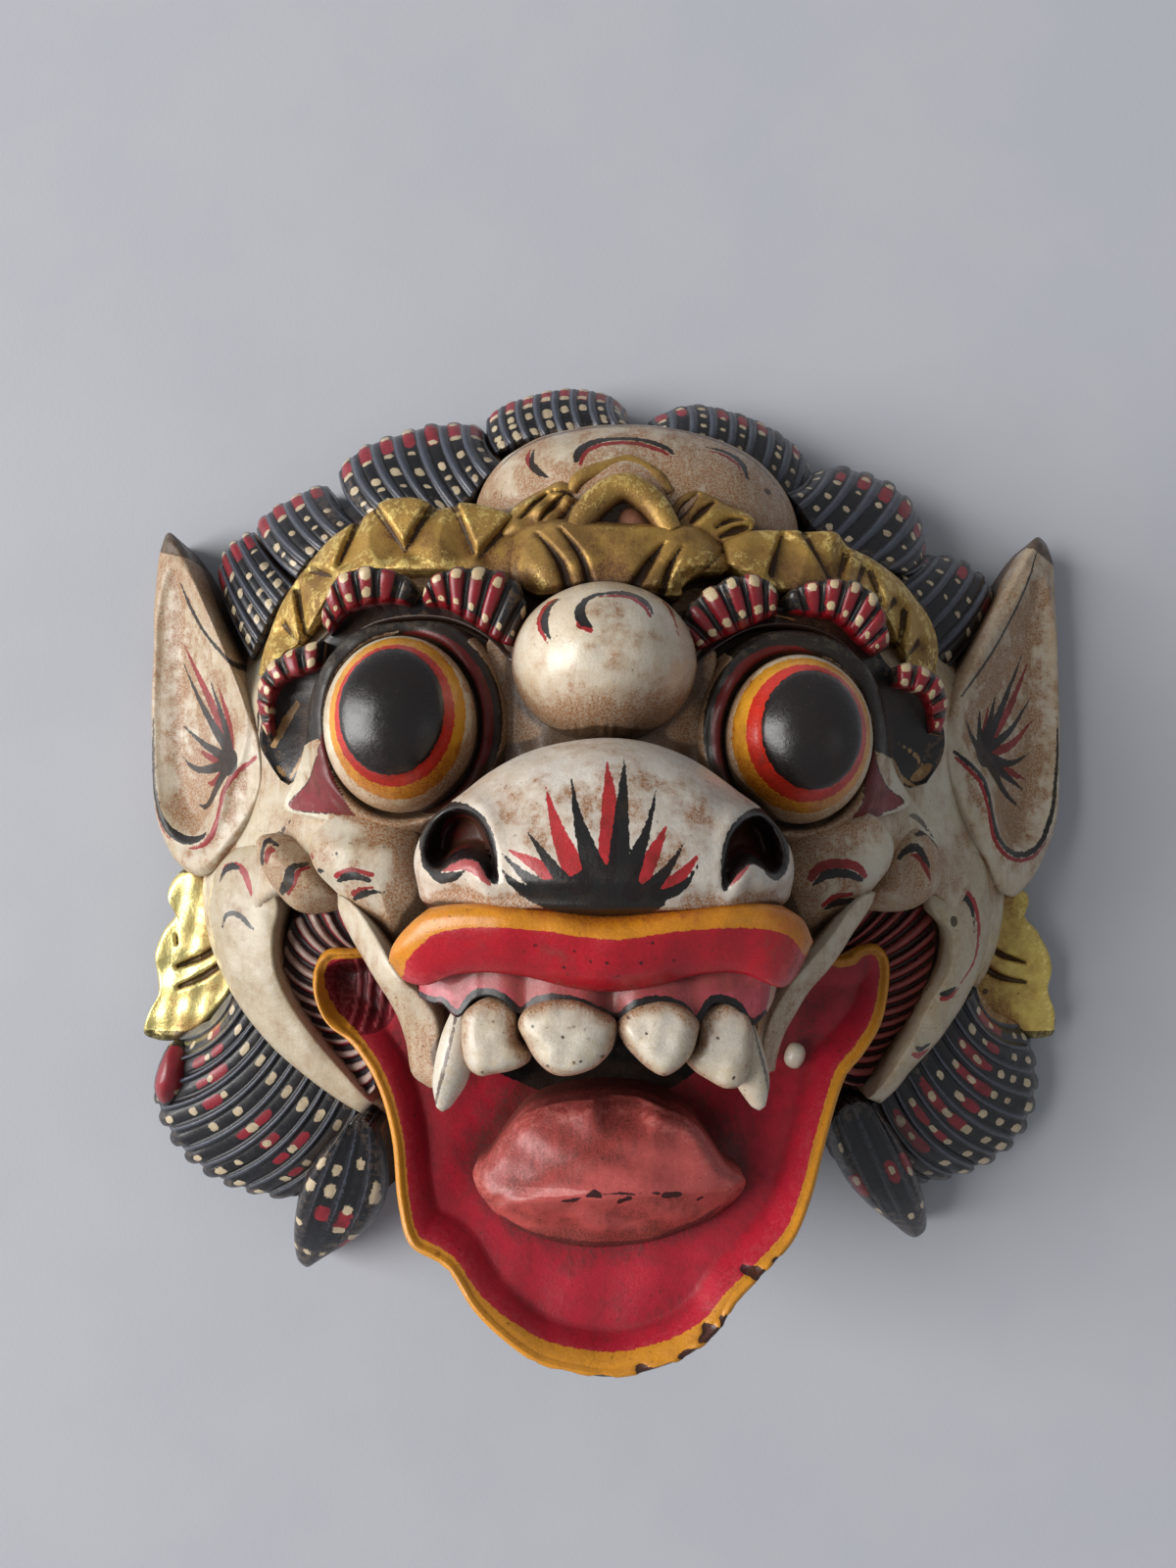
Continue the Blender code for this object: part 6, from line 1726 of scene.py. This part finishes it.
def finish(name, ground, patches, inks=(), stain=0.8, stain_colour=STAIN_BROWN, wear=0.5, wear_colour=None,
           gloss=(0.28, 0.46), cracks=0.0, relief_mm=0.05, metal=0.0, coat=0.12, tint=0.5, grain=0.3, soft=(),
           blotches=0.3):
    """One aged finish.  Over a clouded ground the inks are laid in order, each where its distance, shaken
    a little, is above 0.  Wax and grime gather where the wood is sunk, the soft inks add stains and on
    some pieces painted shade, the edges that stand proud are rubbed, and specks, fine cracks, gloss and
    small relief finish it."""
    ground, patches, stain_colour, wax = seen(ground), seen(patches), seen(stain_colour), seen(WAX_BROWN)
    wear_colour = seen(wear_colour) if wear_colour else patches
    paint = Paint(name)
    add, less, times, between, mix = paint.add, paint.less, paint.times, paint.between, paint.mix
    clouds = paint.noise(0.075, 3, 0.62)
    middle = paint.noise(0.34, 2, 0.6)
    fine = paint.noise(2.3, 2, 0.65)
    grit = paint.noise(6.5, 1, 0.6)
    streaks = paint.noise(1.0, 2, 0.6, paint.stretched(0.9, 0.12, 0.4))
    mottle = between(add(clouds, times(middle, 0.45)), 0.55, 0.92)
    colour = mix(times(mottle, tint), ground, patches)
    tone = between(fine, 0.3, 0.72, 0.9, 1.07)
    ragged = paint.noise(1.1, 1)
    shake = add(times(less(ragged, 0.5), 0.5), times(less(fine, 0.5), 0.22))
    laid = None
    for ink, ink_colour, strength in inks:
        ink_colour = seen(ink_colour)
        share = between(add(paint.ink(ink), shake), -INK_EDGE, INK_EDGE, 0.0, strength)
        darker = tuple(0.55 * c for c in ink_colour[:3]) + (1.0,)
        varied = mix(between(middle, 0.35, 0.75, 0.0, 0.35), ink_colour, darker)
        colour = mix(share, colour, varied)
        laid = paint.math("MAXIMUM", laid, share) if laid else share
    laid = laid or 0.0
    colour = mix(1.0, colour, paint.use("ShaderNodeCombineColor", {0: tone, 1: tone, 2: tone}), "MULTIPLY")
    sunk, deep = paint.ink("sunk"), paint.ink("deep")
    wash = paint.noise(0.16, 3, 0.7)
    uneven_dirt = times(less(add(times(wash, 0.6), times(middle, 0.4)), 0.5), 3.4)
    dirt = between(add(sunk, uneven_dirt), -0.5, 1.1)
    wide_dirt = between(add(deep, times(uneven_dirt, 2.0)), -1.2, 3.2)
    dirt = add(times(dirt, stain), times(wide_dirt, 0.8 * stain))
    # Each soft ink adds a browning: a stain on most pieces, a painted shade on some.
    for soft_name, amount in soft:
        spread = add(paint.ink(soft_name), times(uneven_dirt, 1.3))
        dirt = add(dirt, between(spread, -2.2, 2.2, 0.0, amount))
    dirt = add(dirt, between(wash, 0.48, 0.72, 0.03, blotches))
    dirt = paint.math("MULTIPLY", dirt, between(streaks, 0.25, 0.6, 0.6, 1.0), clamp=True)
    crumbs = add(times(fine, 0.55), times(grit, 0.45))
    speckled = times(dirt, between(crumbs, 0.40, 0.60, 0.35, 1.0))
    colour = mix(speckled, colour, stain_colour, "MULTIPLY")
    heavy = times(times(speckled, speckled), 0.45)
    bare = less(1.0, times(laid, 0.85))
    colour = mix(times(heavy, bare), colour, mix(0.5, stain_colour, wax))
    corners = between(add(sunk, times(uneven_dirt, 0.3)), 1.1, 2.6, 0.0, 0.75 * min(stain, 1.0))
    colour = mix(corners, colour, wax)
    proud = add(times(sunk, -1.0), times(less(fine, 0.5), 3.0))
    rubbed = between(proud, 0.75, 1.5, 0.0, wear)
    rubbed = times(rubbed, between(paint.noise(0.6, 2, 0.75), 0.46, 0.60))
    rubbed = times(rubbed, less(1.0, times(laid, 0.7)))
    colour = mix(rubbed, colour, wear_colour)
    spotted = times(between(ragged, 0.70, 0.74), between(clouds, 0.42, 0.58))
    colour = mix(times(spotted, 0.5), colour, wax)
    if cracks:
        split = between(paint.edges(0.22), 0.0, 0.022, 1.0, 0.0)
        split = times(split, between(wash, 0.52, 0.6))
        colour = mix(times(split, cracks), colour, wax)
    paint.feed(paint.shader.inputs["Base Color"], colour)
    rough = between(add(times(middle, 0.6), times(fine, 0.4)), 0.35, 0.65, *gloss)
    rough = add(rough, times(dirt, 0.12))
    paint.feed(paint.shader.inputs["Roughness"], less(rough, times(rubbed, 0.06)))
    if metal:
        paint.feed(paint.shader.inputs["Metallic"], between(dirt, 0.0, 1.0, metal, 0.25 * metal))
    paint.shader.inputs["Specular IOR Level"].default_value = 0.38
    paint.shader.inputs["Coat Weight"].default_value = coat
    paint.shader.inputs["Coat Roughness"].default_value = 0.22
    height = add(times(fine, 1.0), times(grit, 0.35))
    height = add(height, times(middle, 2.4))
    height = add(height, times(streaks, 2.0 * grain))
    paint.bumps(height, relief_mm)
    return paint.material


FINISHED = {}


def material_of(paint):
    """The material of a paint, made the first time it is asked for."""
    if paint not in FINISHED:
        FINISHED[paint] = finish(**PAINTS[paint])
    return FINISHED[paint]



# ------------------------ the mask put together

for make in (face_shell, jaw, tongue, upper_jaw, lip, gum, teeth, fangs, straps, molar, snout, bridge, bump,
             eyes, sockets, brows, crown, ornament, dome, cheeks, ears, earrings, hair):
    make()

heights = height_map()
near_field = blurred(heights, NEAR_BLUR)
wide_field = blurred(heights, WIDE_BLUR)
for piece in PIECES:
    build(piece, near_field, wide_field)


# ------------------------ floor, light and camera

ROOM_LIGHT = 0.30
WINDOW_POWER = 180.0
FAR_WALL_POWER = 0.8
CAMERA_PLACE = (-0.0035, 0.010, 0.280)
CAMERA_LENS = 27.0


def table():
    """A pale sheet, a shade wider than the light, with a very slight swell: a cosine wave each way."""
    across = np.linspace(-1.4, 1.4, 41)
    x, y = np.meshgrid(across, across, indexing="ij")
    z = -0.0004 - 0.0006 * (1 - np.cos(3 * x)) * (1 - np.cos(3 * y)) / 4
    index = np.arange(x.size).reshape(x.shape)
    quads = np.stack([index[:-1, :-1], index[1:, :-1], index[1:, 1:], index[:-1, 1:]], axis=-1).reshape(-1, 4)
    mesh = bpy.data.meshes.new("table")
    mesh.from_pydata(np.stack([x, y, z], axis=-1).reshape(-1, 3).tolist(), [], quads.tolist())
    mesh.shade_smooth()
    paint = Paint("pale_card")
    cloud = paint.noise(0.02, 3, 0.6)
    tooth = paint.noise(1.4, 3, 0.6)
    colour = paint.mix(paint.between(cloud, 0.35, 0.65), seen(CARD), seen(CARD_CLOUDS))
    paint.feed(paint.shader.inputs["Base Color"], colour)
    paint.shader.inputs["Roughness"].default_value = 0.7
    paint.bumps(tooth, 0.03)
    mesh.materials.append(paint.material)
    floor = bpy.data.objects.new("table", mesh)
    bpy.context.scene.collection.objects.link(floor)
    return floor


def aim(thing, place, target):
    """Stands a lamp or camera at a place and points its -Z at the target."""
    way = np.array(target, float) - np.array(place, float)
    length = np.linalg.norm(way)
    thing.location = place
    thing.rotation_euler = (np.arccos(-way[2] / length), 0, np.arctan2(-way[0], way[1]))


def lamp(name, place, target, size, power, colour):
    """A square-cornered light that shines from a place toward a target."""
    light = bpy.data.lights.new(name, "AREA")
    light.shape = "RECTANGLE"
    light.size, light.size_y = size
    light.energy = power
    light.color = colour
    made = bpy.data.objects.new(name, light)
    aim(made, place, target)
    bpy.context.scene.collection.objects.link(made)


def light_up():
    """A wide window on the mask's right, weak light off the far wall and a dim even room."""
    world = bpy.data.worlds.new("room")
    world.use_nodes = True
    sky = world.node_tree.nodes["Background"]
    sky.inputs["Color"].default_value = (0.93, 0.96, 1.0, 1)
    sky.inputs["Strength"].default_value = ROOM_LIGHT
    bpy.context.scene.world = world
    lamp("window", (-2.80, 0.10, 1.70), (0, 0, 0.03), (2.2, 2.9), WINDOW_POWER, (1.0, 0.985, 0.965))
    lamp("far_wall", (1.7, -0.2, 1.6), (0, 0, 0.05), (0.9, 0.9), FAR_WALL_POWER, (0.96, 0.98, 1.0))


def set_camera():
    """One camera straight above, looking down."""
    camera = bpy.data.cameras.new("from_above")
    camera.lens = CAMERA_LENS
    camera.sensor_width = 36.0
    camera.clip_start = 0.01
    made = bpy.data.objects.new("from_above", camera)
    made.location = CAMERA_PLACE
    bpy.context.scene.collection.objects.link(made)
    bpy.context.scene.camera = made


table()
light_up()
set_camera()
bpy.context.scene.view_settings.view_transform = "Standard"
